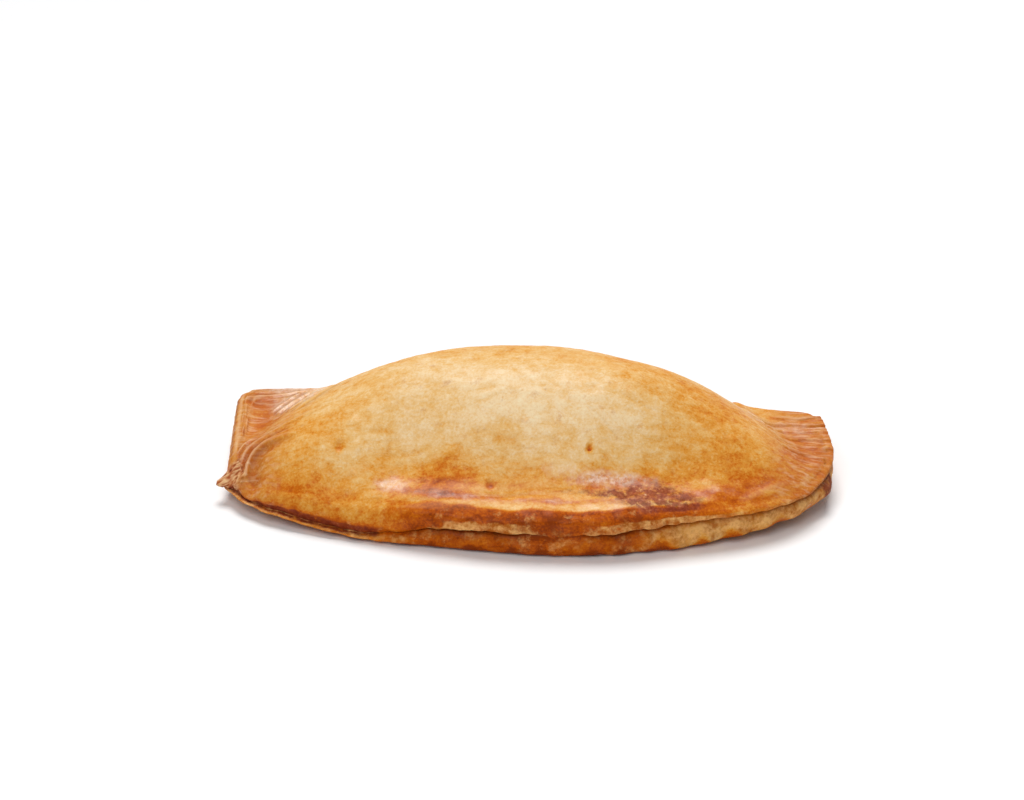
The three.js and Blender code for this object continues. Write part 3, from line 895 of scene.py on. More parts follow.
@dataclass(frozen=True)
class Browning:
    """Marks the upper crust."""

    crust_bake: float = 0.4
    tails: Rise = Rise(0.74, 0.16)  # where the thin tails begin, from 0 at the middle to 1 at the end
    tail_bake: float = 0.1
    lip_bake: float = 0.88
    lip_course: Course = Course(0.0, 1.0, 0.25, Ends(18.0, 34.0), 22.0)  # the brown lip along the front
    lip_edge: tuple[float, float] = (2.2, 1.2)  # inset at which it ends, and the edge's softness
    lip_ripple: Ripple = Ripple(0.15, 23.0)
    lip_jitter: Ripple = Ripple(0.2, 7.9)
    lip_sway: Ripple = Ripple(1.0, 41.0)
    crest_band: Band = Band(4.8, 1.4)  # inset and width of the brown crest behind the lip
    crest_bake: float = 0.26
    gutter_band: Band = Band(10.5, 3.4)
    gutter_bake: float = 0.18
    edge_band: Band = Band(0.0, 5.0)
    edge_bake: float = 0.12
    crease_width: float = 1.1  # of the darker band along the fold of a tail
    crease_bake: float = 0.3
    # painted shade along that band
    crease_shade: float = 0.6
    back: Rise = Rise(-16.0, 14.0)  # how the crust browns towards the fold
    back_bake: float = 0.12
    glaze: float = 0.22
    # more wash on the crest behind the lip: glossier, and with a painted highlight on it
    crest_gloss_and_highlight: float = 0.38
    back_glaze: float = -0.2
    lip_glaze: float = -0.6

    def lip(self, x: Array, inset: Array) -> Array:
        """How much of the brown lip shows.

        Args:
            x: Positions along the length.
            inset: Distances inside the front edge.

        Returns:
            The share from 0 to 1.
        """
        edge, soft = self.lip_edge
        uneven = self.lip_ripple.at(x, self.lip_sway.at(x)) + self.lip_jitter.at(x)
        return self.lip_course.at(x) * smooth((edge + uneven - inset) / soft)

    def marks(self, x: Array, y: Array, tone: Array, form: CrustForm) -> dict[Mark, Array]:
        """Marks on the upper crust.

        Args:
            x: Positions along the length.
            y: Positions across it.
            tone: Painted light and shade of the lines in the dough, from 1 for a highlight on a crest to -1
                for shade at a foot.
            form: The form of the crust.

        Returns:
            Each mark's value for each position.
        """
        inset, behind = y - form.front_y(x), y - form.fold_line(x)
        tails, middle = self.tails.at(form.endness(x)), self.lip_course.at(x)
        crest, back, lip = self.crest_band.at(inset), self.back.at(behind), self.lip(x, inset)
        creased = tails * bell(behind / self.crease_width)
        bake = self.crust_bake + self.tail_bake * tails + together(BROWNING_AND_PAINTED_LIGHT, x, y)
        bake = bake + middle * (self.gutter_bake * self.gutter_band.at(inset) + self.crest_bake * crest)
        bake = bake + self.crease_bake * creased
        bake = bake + self.edge_bake * (1.0 - middle) * self.edge_band.at(inset) * (1.0 - tails)
        bake = mix(bake, self.lip_bake, lip) + self.back_bake * back * (1.0 - tails)
        glaze = self.glaze + self.crest_gloss_and_highlight * crest * middle + together(GLAZE_AND_HIGHLIGHT_SPOTS, x, y)
        none = 0.0 * x
        return {
            Mark.BAKE: bake,
            Mark.CUT: none,
            Mark.GLAZE_AND_HIGHLIGHT: glaze + self.back_glaze * back + self.lip_glaze * lip,
            Mark.BLUSH: tails,
            Mark.CHAR: together(CHAR_SPOTS, x, y),
            Mark.CRACKLE: together(CRACKLE_SPOTS, x, y),
            Mark.LINE_SHADING: 0.5 + 0.5 * np.clip(tone - self.crease_shade * creased, -1.0, 1.0),
            Mark.TORN: together(TORN_SPOTS, x, y),
            Mark.GROOVE_SHADE: none,
            Mark.SOLE: none,
        }


@dataclass(frozen=True)
class RimBrowning:
    """Marks the rim. Heights in a layer run from 0 at its top to 1 at its foot."""

    crust: Browning = field(default_factory=Browning)
    left: Rise = Rise(-16.0, -20.0)
    right: Rise = Rise(24.0, 16.0)
    red: Rise = Rise(-30.0, -8.0)  # where the left front is burnt reddish
    fused: Band = Band(10.0, 10.0)  # where the two layers ran together
    cut_top: Change = Change(0.9, 0.28, -34.0, 26.0)  # height at which the upper layer's cut begins
    cut_ripple: Ripple = Ripple(0.03, 14.0)
    cut_jitter: Ripple = Ripple(0.012, 5.1)
    cut_fused: float = 0.2
    cut_soft: float = 0.12
    fused_cover: float = 0.8  # how much of the cut the fused dough covers
    right_cover: float = 0.75  # and the bend of the right corner
    covered: Rise = Rise(42.0, 12.0)
    low_cut: tuple[float, float, float] = (0.25, 0.65, 0.35)  # everywhere, more right, more left
    low_cut_top: Rise = Rise(0.1, 0.2)
    foot: float = 0.68  # height at which the lower layer's cut ends
    foot_ripple: Ripple = Ripple(0.14, 9.1)
    foot_sway: Ripple = Ripple(1.0, 23.0)
    foot_bake: float = 0.32
    foot_edge: Rise = Rise(-0.1, 0.2)
    upper_bake: float = 0.56
    red_bake: float = 0.36
    red_top: Rise = Rise(0.3, 0.3)
    lower_bake: Ends = Ends(0.8, 0.46)
    left_bake: float = -0.12
    # painted shade on the top of the lower layer, just under the seam
    seam_shade_bake: float = 0.15
    seam_below: Rise = Rise(0.4, -0.3)
    # where shade is painted in the seam: less where the layers fused and at the right, and how far it reaches
    # above and below
    groove_fused: float = 0.9
    groove_right: float = 0.5
    groove_above: Band = Band(1.0, 0.24)
    groove_below: Band = Band(0.0, 0.3)
    glaze: tuple[float, float] = (0.2, 0.1)  # upper and lower layer
    end_blush: float = 0.4
    char_above: Rise = Rise(0.4, 0.2)
    char_below: Rise = Rise(0.4, -0.2)
    # painted highlight and shade in stripes along the layers of the left end
    layer_shading: float = 0.35
    layer_pitch: float = 0.36
    torn_above: Rise = Rise(0.9, -0.2)
    torn_below: float = 0.4
    sole_edge: Rise = Rise(0.9, 0.1)
    roll_bake: float = 0.52
    roll_foot_bake: float = 0.14
    roll_foot: Rise = Rise(0.5, 0.4)
    roll_glaze: float = 0.2
    # painted shade along the top of the fold on the tails
    roll_shade: float = 0.3
    roll_top: Rise = Rise(0.7, -0.4)
    roll_sole: Rise = Rise(0.7, 0.3)

    def sealed(self, x: Array, y: Array, left_end: Array, tails: Array, rim: Rim) -> dict[Mark, Array]:
        """Marks where the two layers are pressed together.

        Args:
            x: Positions along the length.
            y: Positions across it.
            left_end: 1 on the slanted left end and 0 elsewhere.
            tails: 1 on the tails and 0 over the middle.
            rim: The rim's section.

        Returns:
            The marks, with one row for each ring from the top down.
        """
        ups = np.arange(1, rim.upper_rings + 1)[:, None] / rim.upper_rings
        lows = np.arange(1, rim.lower_rings + 1)[:, None] / rim.lower_rings
        torn, chip = together(TORN_SPOTS, x, y), CHIP_SPOT.at(x, y)
        up_none, low_none = 0.0 * ups * x, 0.0 * lows * x
        left, right, fused = self.left.at(x), self.right.at(x), self.fused.at(x)
        red = self.red.at(x) * (1.0 - left_end)
        everywhere, more_right, more_left = self.low_cut

        cut_from = self.cut_top.at(x) + self.cut_ripple.at(x) + self.cut_jitter.at(x) + self.cut_fused * fused
        shown = (1.0 - self.fused_cover * fused) * (1.0 - self.right_cover * self.covered.at(x))
        cut_up = shown * smooth((ups - cut_from) / self.cut_soft)
        foot = self.foot + self.foot_ripple.at(x, self.foot_sway.at(x))
        cut_low = everywhere + more_right * right + more_left * left
        cut_low = cut_low * smooth((foot - lows) / self.cut_soft) * self.low_cut_top.at(lows)
        cut_low = cut_low * (1.0 - np.clip(chip, 0.0, 1.0))

        bake_up = mix(self.upper_bake, self.crust.lip_bake, self.crust.lip(x, 0.0 * x))
        bake_up = bake_up + self.red_bake * red * self.red_top.at(ups)
        bake_low = mix(self.lower_bake.left, self.lower_bake.right, right) + self.left_bake * left
        bake_low = bake_low + self.foot_bake * self.foot_edge.at(lows - foot)
        bake_low = bake_low + self.seam_shade_bake * (1.0 - left) * self.seam_below.at(lows)

        open_seam = (1.0 - left) * (1.0 - self.groove_fused * fused) * (1.0 - self.groove_right * right)
        glaze_up, glaze_low = self.glaze
        upper = {
            Mark.BAKE: bake_up,
            Mark.CUT: cut_up,
            Mark.GLAZE_AND_HIGHLIGHT: glaze_up * (1.0 - cut_up),
            Mark.BLUSH: tails * (1.0 - self.end_blush * left_end),
            Mark.CHAR: red * self.char_above.at(ups),
            Mark.LINE_SHADING: 0.5 + self.layer_shading * left_end * wave(ups, self.layer_pitch),
            Mark.TORN: torn * self.torn_above.at(ups),
            Mark.GROOVE_SHADE: self.groove_above.at(ups) * open_seam,
        }
        lower = {
            Mark.BAKE: bake_low,
            Mark.CUT: cut_low,
            Mark.GLAZE_AND_HIGHLIGHT: glaze_low,
            Mark.BLUSH: tails * (1.0 - self.end_blush * left_end),
            Mark.CHAR: red * self.char_below.at(lows) + chip,
            Mark.LINE_SHADING: 0.5,
            Mark.TORN: self.torn_below * torn,
            Mark.GROOVE_SHADE: self.groove_below.at(lows) * open_seam,
            Mark.SOLE: self.sole_edge.at(lows),
        }
        return {m: np.vstack([upper.get(m, 0.0) + up_none, lower.get(m, 0.0) + low_none]) for m in Mark}

    def rolled(self, x: Array, tails: Array, rim: Rim) -> dict[Mark, Array]:
        """Marks on the fold.

        Args:
            x: Positions along the length.
            tails: 1 on the tails and 0 over the middle.
            rim: The rim's section.

        Returns:
            The marks, with one row for each ring from the top down.
        """
        rings = rim.upper_rings + rim.lower_rings
        down = np.arange(1, rings + 1)[:, None] / rings
        roll = {
            Mark.BAKE: self.roll_bake + self.roll_foot_bake * self.roll_foot.at(down),
            Mark.GLAZE_AND_HIGHLIGHT: self.roll_glaze * (1.0 - down),
            Mark.BLUSH: tails,
            Mark.LINE_SHADING: 0.5 - self.roll_shade * tails * self.roll_top.at(down),
            Mark.SOLE: self.roll_sole.at(down),
        }
        return {mark: roll.get(mark, 0.0) + 0.0 * down * x for mark in Mark}

    def marks(
        self, x: Array, y: Array, left_end: Array, folded: Array, rim: Rim, form: CrustForm
    ) -> dict[Mark, Array]:
        """Marks on the rim, one row for each ring from the top down.

        Args:
            x: Positions along the length.
            y: Positions across it.
            left_end: 1 on the slanted left end and 0 elsewhere.
            folded: 1 along the fold and 0 on the sealed rim.
            rim: The rim's section.
            form: The form of the crust.

        Returns:
            The marks of every ring.
        """
        tails = self.crust.tails.at(form.endness(x))
        sealed, roll = self.sealed(x, y, left_end, tails, rim), self.rolled(x, tails, rim)
        return {mark: mix(sealed[mark], roll[mark], folded) for mark in Mark}


# ---- building with nodes -----------------------------------------------------------------
class Step(Enum):
    """A way of using a node: its kind, its settings, the inputs given in order, and its output."""

    ADD = ("ShaderNodeMath", {"operation": "ADD"}, (0, 1), 0)
    SUBTRACT = ("ShaderNodeMath", {"operation": "SUBTRACT"}, (0, 1), 0)
    MULTIPLY = ("ShaderNodeMath", {"operation": "MULTIPLY"}, (0, 1), 0)
    DIVIDE = ("ShaderNodeMath", {"operation": "DIVIDE"}, (0, 1), 0)
    POWER = ("ShaderNodeMath", {"operation": "POWER"}, (0, 1), 0)
    MAXIMUM = ("ShaderNodeMath", {"operation": "MAXIMUM"}, (0, 1), 0)
    ABSOLUTE = ("ShaderNodeMath", {"operation": "ABSOLUTE"}, (0,), 0)
    STRETCH = ("ShaderNodeMapRange", {}, ("Value", "From Min", "From Max", "To Min", "To Max"), 0)
    VECTOR_MULTIPLY = ("ShaderNodeVectorMath", {"operation": "MULTIPLY"}, (0, 1), 0)
    VECTOR_SCALE = ("ShaderNodeVectorMath", {"operation": "SCALE"}, (0, "Scale"), 0)
    MAPPING = ("ShaderNodeMapping", {}, ("Vector", "Rotation", "Scale"), 0)
    NOISE = ("ShaderNodeTexNoise", {}, ("Vector", "Scale", "Detail", "Roughness", "Distortion"), "Fac")
    SEEDED_NOISE = (
        "ShaderNodeTexNoise",
        {"noise_dimensions": "4D"},
        ("Vector", "W", "Scale", "Detail"),
        "Fac",
    )
    CELLS = ("ShaderNodeTexVoronoi", {"feature": "F1"}, ("Vector", "Scale"), "Distance")
    SOFT_CELLS = ("ShaderNodeTexVoronoi", {"feature": "SMOOTH_F1"}, ("Vector", "Scale"), "Distance")
    RAMP = ("ShaderNodeValToRGB", {}, ("Fac",), "Color")
    BLEND = ("ShaderNodeMix", {"data_type": "RGBA"}, (0, 6, 7), 2)
    OBJECT_PLACE = ("ShaderNodeTexCoord", {}, (), "Object")
    PAINTED = ("ShaderNodeAttribute", {}, (), "Fac")
    BUMP = ("ShaderNodeBump", {}, ("Height", "Strength", "Distance"), "Normal")
    SURFACE = (
        "ShaderNodeBsdfPrincipled",
        {},
        (
            "Base Color",
            "Roughness",
            "IOR",
            "Specular IOR Level",
            "Normal",
            "Coat Weight",
            "Coat Roughness",
        ),
        "BSDF",
    )
    SURFACE_END = ("ShaderNodeOutputMaterial", {}, ("Surface",), None)
    GIVEN = ("NodeGroupInput", {}, (), "Geometry")
    POSITION = ("GeometryNodeInputPosition", {}, (), 0)
    NORMAL = ("GeometryNodeInputNormal", {}, (), 0)
    MARK = ("GeometryNodeInputNamedAttribute", {"data_type": "FLOAT"}, ("Name",), 0)
    STORE = (
        "GeometryNodeStoreNamedAttribute",
        {"data_type": "FLOAT", "domain": "POINT"},
        ("Geometry", "Name", "Value"),
        0,
    )
    MOVE = ("GeometryNodeSetPosition", {}, ("Geometry", "Offset"), 0)
    REALIZE = ("GeometryNodeRealizeInstances", {}, ("Geometry",), 0)
    SET_MATERIAL = ("GeometryNodeSetMaterial", {}, ("Geometry", "Material"), 0)
    TREE_END = ("NodeGroupOutput", {}, ("Geometry",), None)


def linear(colour: str) -> tuple[float, float, float, float]:
    """Turns an sRGB hex colour into the linear values that a shader takes."""
    shares = [int(colour[i : i + 2], 16) / 255.0 for i in (1, 3, 5)]
    rgb = [c / 12.92 if c <= 0.04045 else ((c + 0.055) / 1.055) ** 2.4 for c in shares]
    return (*rgb, 1.0)


def add(tree: bpy.types.NodeTree, step: Step, *values, **settings) -> bpy.types.NodeSocket | None:
    """Adds one node with its settings and links.

    Args:
        tree: The tree that takes the node.
        step: The way of using the node.
        values: For each of the step's inputs in order, a value or another node's output.
        settings: More settings of the node. stops gives a colour ramp's places and colours.

    Returns:
        The node's output, or None from a node at the end of a tree.
    """
    kind, always, names, out = step.value
    node = tree.nodes.new(kind)
    stops = settings.pop("stops", ())
    for name, setting in {**always, **settings}.items():
        setattr(node, name, setting)
    for i, (place, colour) in enumerate(stops):
        elements = node.color_ramp.elements
        element = elements[i] if i < len(elements) else elements.new(place)
        element.position, element.color = place, linear(colour)
    for name, value in zip(names, values):
        if isinstance(value, bpy.types.NodeSocket):
            tree.links.new(value, node.inputs[name])
        else:
            node.inputs[name].default_value = value
    return None if out is None else node.outputs[out]


class Recipe:
    """A Geometry Nodes tree with named inputs, which is run once and then left as plain mesh."""

    def __init__(self, name: str, sizes: dict[str, float], seed: int, material: bpy.types.Material) -> None:
        """Starts the tree.

        Args:
            name: The tree's name.
            sizes: A value for each size, by the name of its input.
            seed: The seed of anything random.
            material: What the finished mesh is made of.
        """
        self.tree = bpy.data.node_groups.new(name, "GeometryNodeTree")
        self.values = {**sizes, "Seed": seed, "Material": material}
        kinds = {float: "NodeSocketFloat", int: "NodeSocketInt", bpy.types.Material: "NodeSocketMaterial"}
        face = self.tree.interface
        face.new_socket("Geometry", in_out="INPUT", socket_type="NodeSocketGeometry")
        self.sockets = {
            name: face.new_socket(name, in_out="INPUT", socket_type=kinds[type(value)])
            for name, value in self.values.items()
        }
        face.new_socket("Geometry", in_out="OUTPUT", socket_type="NodeSocketGeometry")
        self.given = add(self.tree, Step.GIVEN).node.outputs

    def grain(self, place: bpy.types.NodeSocket, name: str, detail: float) -> bpy.types.NodeSocket:
        """Noise whose size is one of the tree's inputs.

        Args:
            place: Where the noise is read.
            name: The grain's name, as its size input has it.
            detail: How many finer layers the noise has.

        Returns:
            The noise, from -1 to 1.
        """
        node = partial(add, self.tree)
        scale = node(Step.DIVIDE, 1.0, self.given[f"{name} Size"])
        value = node(Step.SEEDED_NOISE, place, self.given["Seed"], scale, detail)
        return node(Step.MULTIPLY, node(Step.SUBTRACT, value, 0.5), 2.0)

    def end(self, geometry: bpy.types.NodeSocket) -> None:
        """Ends the tree in real mesh with its material."""
        made = add(self.tree, Step.REALIZE, geometry)
        add(self.tree, Step.TREE_END, add(self.tree, Step.SET_MATERIAL, made, self.given["Material"]))

    def run(self, piece: bpy.types.Object) -> None:
        """Puts the tree's result in place of the piece's own mesh."""
        modifier = piece.modifiers.new(self.tree.name, "NODES")
        modifier.node_group = self.tree
        for name, socket in self.sockets.items():
            modifier[socket.identifier] = self.values[name]
        graph = bpy.context.evaluated_depsgraph_get()
        made = bpy.data.meshes.new_from_object(
            piece.evaluated_get(graph), preserve_all_data_layers=True, depsgraph=graph
        )
        piece.modifiers.remove(modifier)
        old, piece.data = piece.data, made
        made.name = piece.name
        bpy.data.meshes.remove(old)


# ---- finishes ----------------------------------------------------------------------------
@dataclass(frozen=True)
class Mottle:
    """Noise of a real size, stretched so that it runs from one value to another."""

    size_mm: float
    detail: float
    rough: float
    least: float = 0.0
    most: float = 1.0
    low: float = 0.3  # where the plain noise reaches the least value
    high: float = 0.7  # and where the most

    @property
    def noise(self) -> tuple[float, float, float]:
        """Scale, detail and roughness of the plain noise."""
        return 1.0 / (self.size_mm * MM), self.detail, self.rough

    def at(self, tree: bpy.types.NodeTree, place: bpy.types.NodeSocket) -> bpy.types.NodeSocket:
        """The stretched noise."""
        noise = add(tree, Step.NOISE, place, *self.noise)
        return add(tree, Step.STRETCH, noise, self.low, self.high, self.least, self.most)


@dataclass(frozen=True)
class Drawn:
    """Noise that is drawn out in one direction, as wrinkles in stretched dough are."""

    size_mm: float
    turn: float  # radians
    squeeze: tuple[float, float, float]
    detail: float
    distortion: float

    def at(self, tree: bpy.types.NodeTree, place: bpy.types.NodeSocket) -> bpy.types.NodeSocket:
        """The noise, around 0.5."""
        drawn = add(tree, Step.MAPPING, place, (0.0, 0.0, self.turn), self.squeeze)
        scale = 1.0 / (self.size_mm * MM)
        return add(tree, Step.NOISE, drawn, scale, self.detail, 0.5, self.distortion)


@dataclass(frozen=True)
class EggWashedCrust:
    """Baked wheat dough brushed with egg wash.

    The wash browns into a thin satin coat: cream over the front of the dome, partly a painted
    highlight, gold on the shoulders, chestnut where the wash pooled along the lip. Cut edges have
    no wash, so they stay pale and dry. Highlights are painted where the wash lies thick, on the
    crest of each line, on the tails and on blisters; shade is painted in pits, at the foot of each
    line, in the seam and between torn shreds.
    """

    name: str = "egg-washed baked wheat dough"
    bake_stops: tuple[tuple[float, str], ...] = (
        (0.0, "#f7e2ba"),
        (0.2, "#f1d09e"),
        (0.38, "#e9b86f"),
        (0.55, "#e09838"),
        (0.72, "#cc6a08"),
        (0.88, "#b24e00"),
        (1.0, "#8c3802"),
    )
    cut_pale: str = "#f6bd74"
    cut_brown: str = "#b4641e"
    blush: str = "#b96a35"
    painted_highlight: str = "#f4d8c2"  # painted highlight: pale pinkish white where the wash lies thick
    # painted highlight on the crest of a line in the dough, and on the tails' streak lines
    line_highlight: str = "#efcba2"
    # painted shade at the foot of a line in the dough
    line_shade: str = "#94481c"
    # painted light and shade of the torn shreds: dark low down, pale where they stand up
    shred_shade_stops: tuple[tuple[float, str], ...] = (
        (0.0, "#7a3418"),
        (0.5, "#b5663a"),
        (1.0, "#efc590"),
    )
    # burnt sugar, whose palest stops are painted highlights on the blisters in it
    char_stops: tuple[tuple[float, str], ...] = (
        (0.36, "#742a16"),
        (0.52, "#9c4a30"),
        (0.62, "#c07a50"),
        (0.7, "#ecc8a4"),
    )
    # painted shade in the seam
    seam_shade_dark: str = "#6a300a"
    sole_pale: str = "#c08a48"
    sole_brown: str = "#7d4517"
    clouds: Mottle = Mottle(11.0, 3.0, 0.55, -0.09, 0.09)  # large clouds of browning
    mottle: Mottle = Mottle(2.2, 5.0, 0.7, -0.1, 0.1)  # mottling inside them
    flour: Mottle = Mottle(0.6, 4.0, 0.7, -0.1, 0.1)  # flour grain of the skin
    wash_pools: Mottle = Mottle(3.4, 3.0, 0.55, -0.2, 0.2)
    # flecks that break up the painted highlight on thick wash
    highlight_flecks: Mottle = Mottle(1.3, 5.0, 0.75, 0.2, 1.0, 0.4, 0.62)
    char_blots: Mottle = Mottle(2.6, 5.0, 0.7, 0.2, 1.8)
    char_flecks: Mottle = Mottle(1.5, 5.0, 0.75, 0.22, 0.58)
    crumb_coarse: Mottle = Mottle(4.0, 3.0, 0.6)
    crumb_fine: Mottle = Mottle(1.4, 4.0, 0.7)
    cut_edge: Mottle = Mottle(3.0, 5.0, 0.7, -0.7, 0.5)
    sole_specks: Mottle = Mottle(4.5, 5.0, 0.7, 0.0, 1.0, 0.4, 0.68)
    pores: Mottle = Mottle(0.6, 5.0, 0.7)
    wrinkles: Drawn = Drawn(3.2, 0.12, (0.5, 1.1, 0.9), 4.0, 0.6)  # along the length of the crust
    sheen_streaks: Drawn = Drawn(1.1, 0.0, (0.22, 0.9, 0.9), 5.0, 0.3)  # painted sheen in lines drawn out along the tails
    blister_mm: float = 1.3
    blister_edge: tuple[float, float] = (0.1, 0.5)  # from full to none, in cells
    blister_highlight: tuple[float, float] = (0.08, 0.1)  # painted highlight: everywhere on the pebbles, and more on a blister's top
    wrinkle_width: float = 0.06
    peel_range: tuple[float, float] = (0.3, 0.7)
    # painted shade in the pits of the peel, paler on its bumps
    peel_shade: float = 0.07
    wrinkle_shade: tuple[float, float] = (0.04, -0.01)  # painted shade in a wrinkle, and a little paler beside it
    blush_share: float = 0.45
    sheen_streak_share: tuple[float, float, float] = (0.5, 0.72, 0.5)  # from, to and the most of them
    # where the painted highlight on thick wash begins and ends, and its most
    thick_wash_highlight_share: tuple[float, float, float] = (0.4, 1.0, 0.82)
    crest_highlight_share: float = 0.6
    foot_shade_share: tuple[float, float] = (0.1, 0.6)
    char_share: tuple[float, float, float] = (0.3, 1.0, 0.9)
    crumb_mix: float = 0.9
    crumb_range: tuple[float, float] = (0.8, 1.1)
    cut_range: tuple[float, float] = (0.1, 0.9)
    cut_share: float = 0.9
    torn_range: tuple[float, float] = (0.3, 0.6)
    seam_shade_share: float = 0.75
    dry_cut: tuple[float, float] = (0.8, 0.1)  # how pale a cut is without wash, and what wash is left
    dry_char: float = 0.3
    dry_roughness: float = 0.66
    wash_roughness: float = 0.36
    coat_roughness: float = 0.22
    coat_share: float = 0.5
    ior: float = 1.36
    specular: float = 0.12
    bump_mm: float = 0.07
    bump_strength: float = 0.8
    bump_wrinkle: float = 0.45
    bump_blister: float = 2.0

    def make(self) -> bpy.types.Material:
        """Builds the material, which reads the marks painted on the mesh."""
        material = bpy.data.materials.new(self.name)
        material.use_nodes = True
        tree = material.node_tree
        tree.nodes.clear()
        node = partial(add, tree)
        place = node(Step.OBJECT_PLACE)
        marks = {mark: node(Step.PAINTED, attribute_name=mark.value) for mark in Mark}
        peel, shred_relief_and_shade = (node(Step.PAINTED, attribute_name=name) for name in (PEEL_SHADE, SHRED_SHADE))

        # browned skin: clouds, mottling and flour grain, with shade painted into the peel's pits and into
        # wrinkles
        wrinkle = node(Step.ABSOLUTE, node(Step.SUBTRACT, self.wrinkles.at(tree, place), 0.5))
        wrinkle = node(Step.STRETCH, wrinkle, 0.0, self.wrinkle_width, 0.0, 1.0)
        cloudy = node(Step.ADD, self.clouds.at(tree, place), self.mottle.at(tree, place))
        pit_shade = node(Step.STRETCH, peel, *self.peel_range, self.peel_shade, -self.peel_shade)
        pit_shade = node(Step.ADD, pit_shade, node(Step.STRETCH, wrinkle, 0.0, 1.0, *self.wrinkle_shade))
        bake = node(Step.ADD, marks[Mark.BAKE], cloudy)
        bake = node(Step.ADD, bake, node(Step.ADD, self.flour.at(tree, place), pit_shade))
        skin = node(Step.RAMP, bake, stops=self.bake_stops)
        rosy = node(Step.MULTIPLY, marks[Mark.BLUSH], self.blush_share)
        skin = node(Step.BLEND, rosy, skin, linear(self.blush))

        # painted sheen on the tails in streak lines, a painted highlight where the wash lies thick, and a
        # painted highlight on the crest and painted shade at the foot of each line in the dough
        start, end, most = self.sheen_streak_share
        sheen_streaks = node(Step.STRETCH, self.sheen_streaks.at(tree, place), start, end, 0.0, most)
        pale = node(Step.MULTIPLY, sheen_streaks, marks[Mark.BLUSH])
        skin = node(Step.BLEND, pale, skin, linear(self.line_highlight))
        wash = node(Step.ADD, marks[Mark.GLAZE_AND_HIGHLIGHT], self.wash_pools.at(tree, place))
        wash = node(Step.STRETCH, wash, 0.0, 1.0, 0.0, 1.0)
        start, end, most = self.thick_wash_highlight_share
        wash_highlight = node(Step.STRETCH, wash, start, end, 0.0, most)
        wash_highlight = node(Step.MULTIPLY, wash_highlight, self.highlight_flecks.at(tree, place))
        skin = node(Step.BLEND, wash_highlight, skin, linear(self.painted_highlight))
        line_highlights = node(Step.STRETCH, marks[Mark.LINE_SHADING], 0.5, 1.0, 0.0, self.crest_highlight_share)
        skin = node(Step.BLEND, line_highlights, skin, linear(self.line_highlight))
        darkest, most = self.foot_shade_share
        line_shades = node(Step.STRETCH, marks[Mark.LINE_SHADING], darkest, 0.5, most, 0.0)
        skin = node(Step.BLEND, line_shades, skin, linear(self.line_shade))

        # burnt sugar, with painted highlights on the small blisters in it
        start, end, most = self.char_share
        char = node(Step.MULTIPLY, marks[Mark.CHAR], self.char_blots.at(tree, place))
        char = node(Step.STRETCH, char, start, end, 0.0, most)
        cells = node(Step.CELLS, place, 1.0 / (self.blister_mm * MM))
        pebbles = node(Step.STRETCH, cells, *self.blister_edge, 1.0, 0.0)
        base, more = self.blister_highlight
        pebble_highlight = node(Step.ADD, node(Step.MULTIPLY, pebbles, more), base)
        pebble_highlight = node(Step.MULTIPLY, pebble_highlight, marks[Mark.CRACKLE])
        flecked = node(Step.ADD, self.char_flecks.at(tree, place), pebble_highlight)
        skin = node(Step.BLEND, char, skin, node(Step.RAMP, flecked, stops=self.char_stops))

        # cut dough, torn dough with painted light and shade on its shreds, painted shade in the seam, and the
        # sole
        fine = node(Step.MULTIPLY, node(Step.NOISE, place, *self.crumb_fine.noise), self.crumb_mix)
        crumb = node(Step.ADD, node(Step.NOISE, place, *self.crumb_coarse.noise), fine)
        crumb = node(Step.STRETCH, crumb, *self.crumb_range, 0.0, 1.0)
        dough = node(Step.BLEND, crumb, linear(self.cut_pale), linear(self.cut_brown))
        edge = node(Step.ADD, marks[Mark.CUT], self.cut_edge.at(tree, place))
        edge = node(Step.STRETCH, edge, *self.cut_range, 0.0, 1.0)
        edge = node(Step.MULTIPLY, edge, self.cut_share)
        skin = node(Step.BLEND, edge, skin, dough)
        torn = node(Step.STRETCH, marks[Mark.TORN], *self.torn_range, 0.0, 1.0)
        skin = node(Step.BLEND, torn, skin, node(Step.RAMP, shred_relief_and_shade, stops=self.shred_shade_stops))
        groove = node(Step.MULTIPLY, marks[Mark.GROOVE_SHADE], self.seam_shade_share)
        skin = node(Step.BLEND, groove, skin, linear(self.seam_shade_dark))
        specks = self.sole_specks.at(tree, place)
        sole = node(Step.BLEND, specks, linear(self.sole_pale), linear(self.sole_brown))
        skin = node(Step.BLEND, marks[Mark.SOLE], skin, sole)

        # gloss of the wash, and the finest bumps
        full, left = self.dry_cut
        wash = node(Step.MULTIPLY, wash, node(Step.STRETCH, edge, 0.0, full, 1.0, left))
        wash = node(Step.MULTIPLY, wash, node(Step.STRETCH, char, 0.0, 1.0, 1.0, self.dry_char))
        roughness = node(Step.STRETCH, wash, 0.0, 1.0, self.dry_roughness, self.wash_roughness)
        height = node(Step.MULTIPLY, wrinkle, self.bump_wrinkle)
        height = node(Step.ADD, node(Step.NOISE, place, *self.pores.noise), height)
        raised = node(Step.MULTIPLY, pebbles, node(Step.MULTIPLY, marks[Mark.CRACKLE], self.bump_blister))
        height = node(Step.ADD, height, raised)
        bump = node(Step.BUMP, height, self.bump_strength, self.bump_mm * MM)
        coat = node(Step.MULTIPLY, wash, self.coat_share)
        gloss = (roughness, self.ior, self.specular, bump, coat, self.coat_roughness)
        node(Step.SURFACE_END, node(Step.SURFACE, skin, *gloss))
        return material


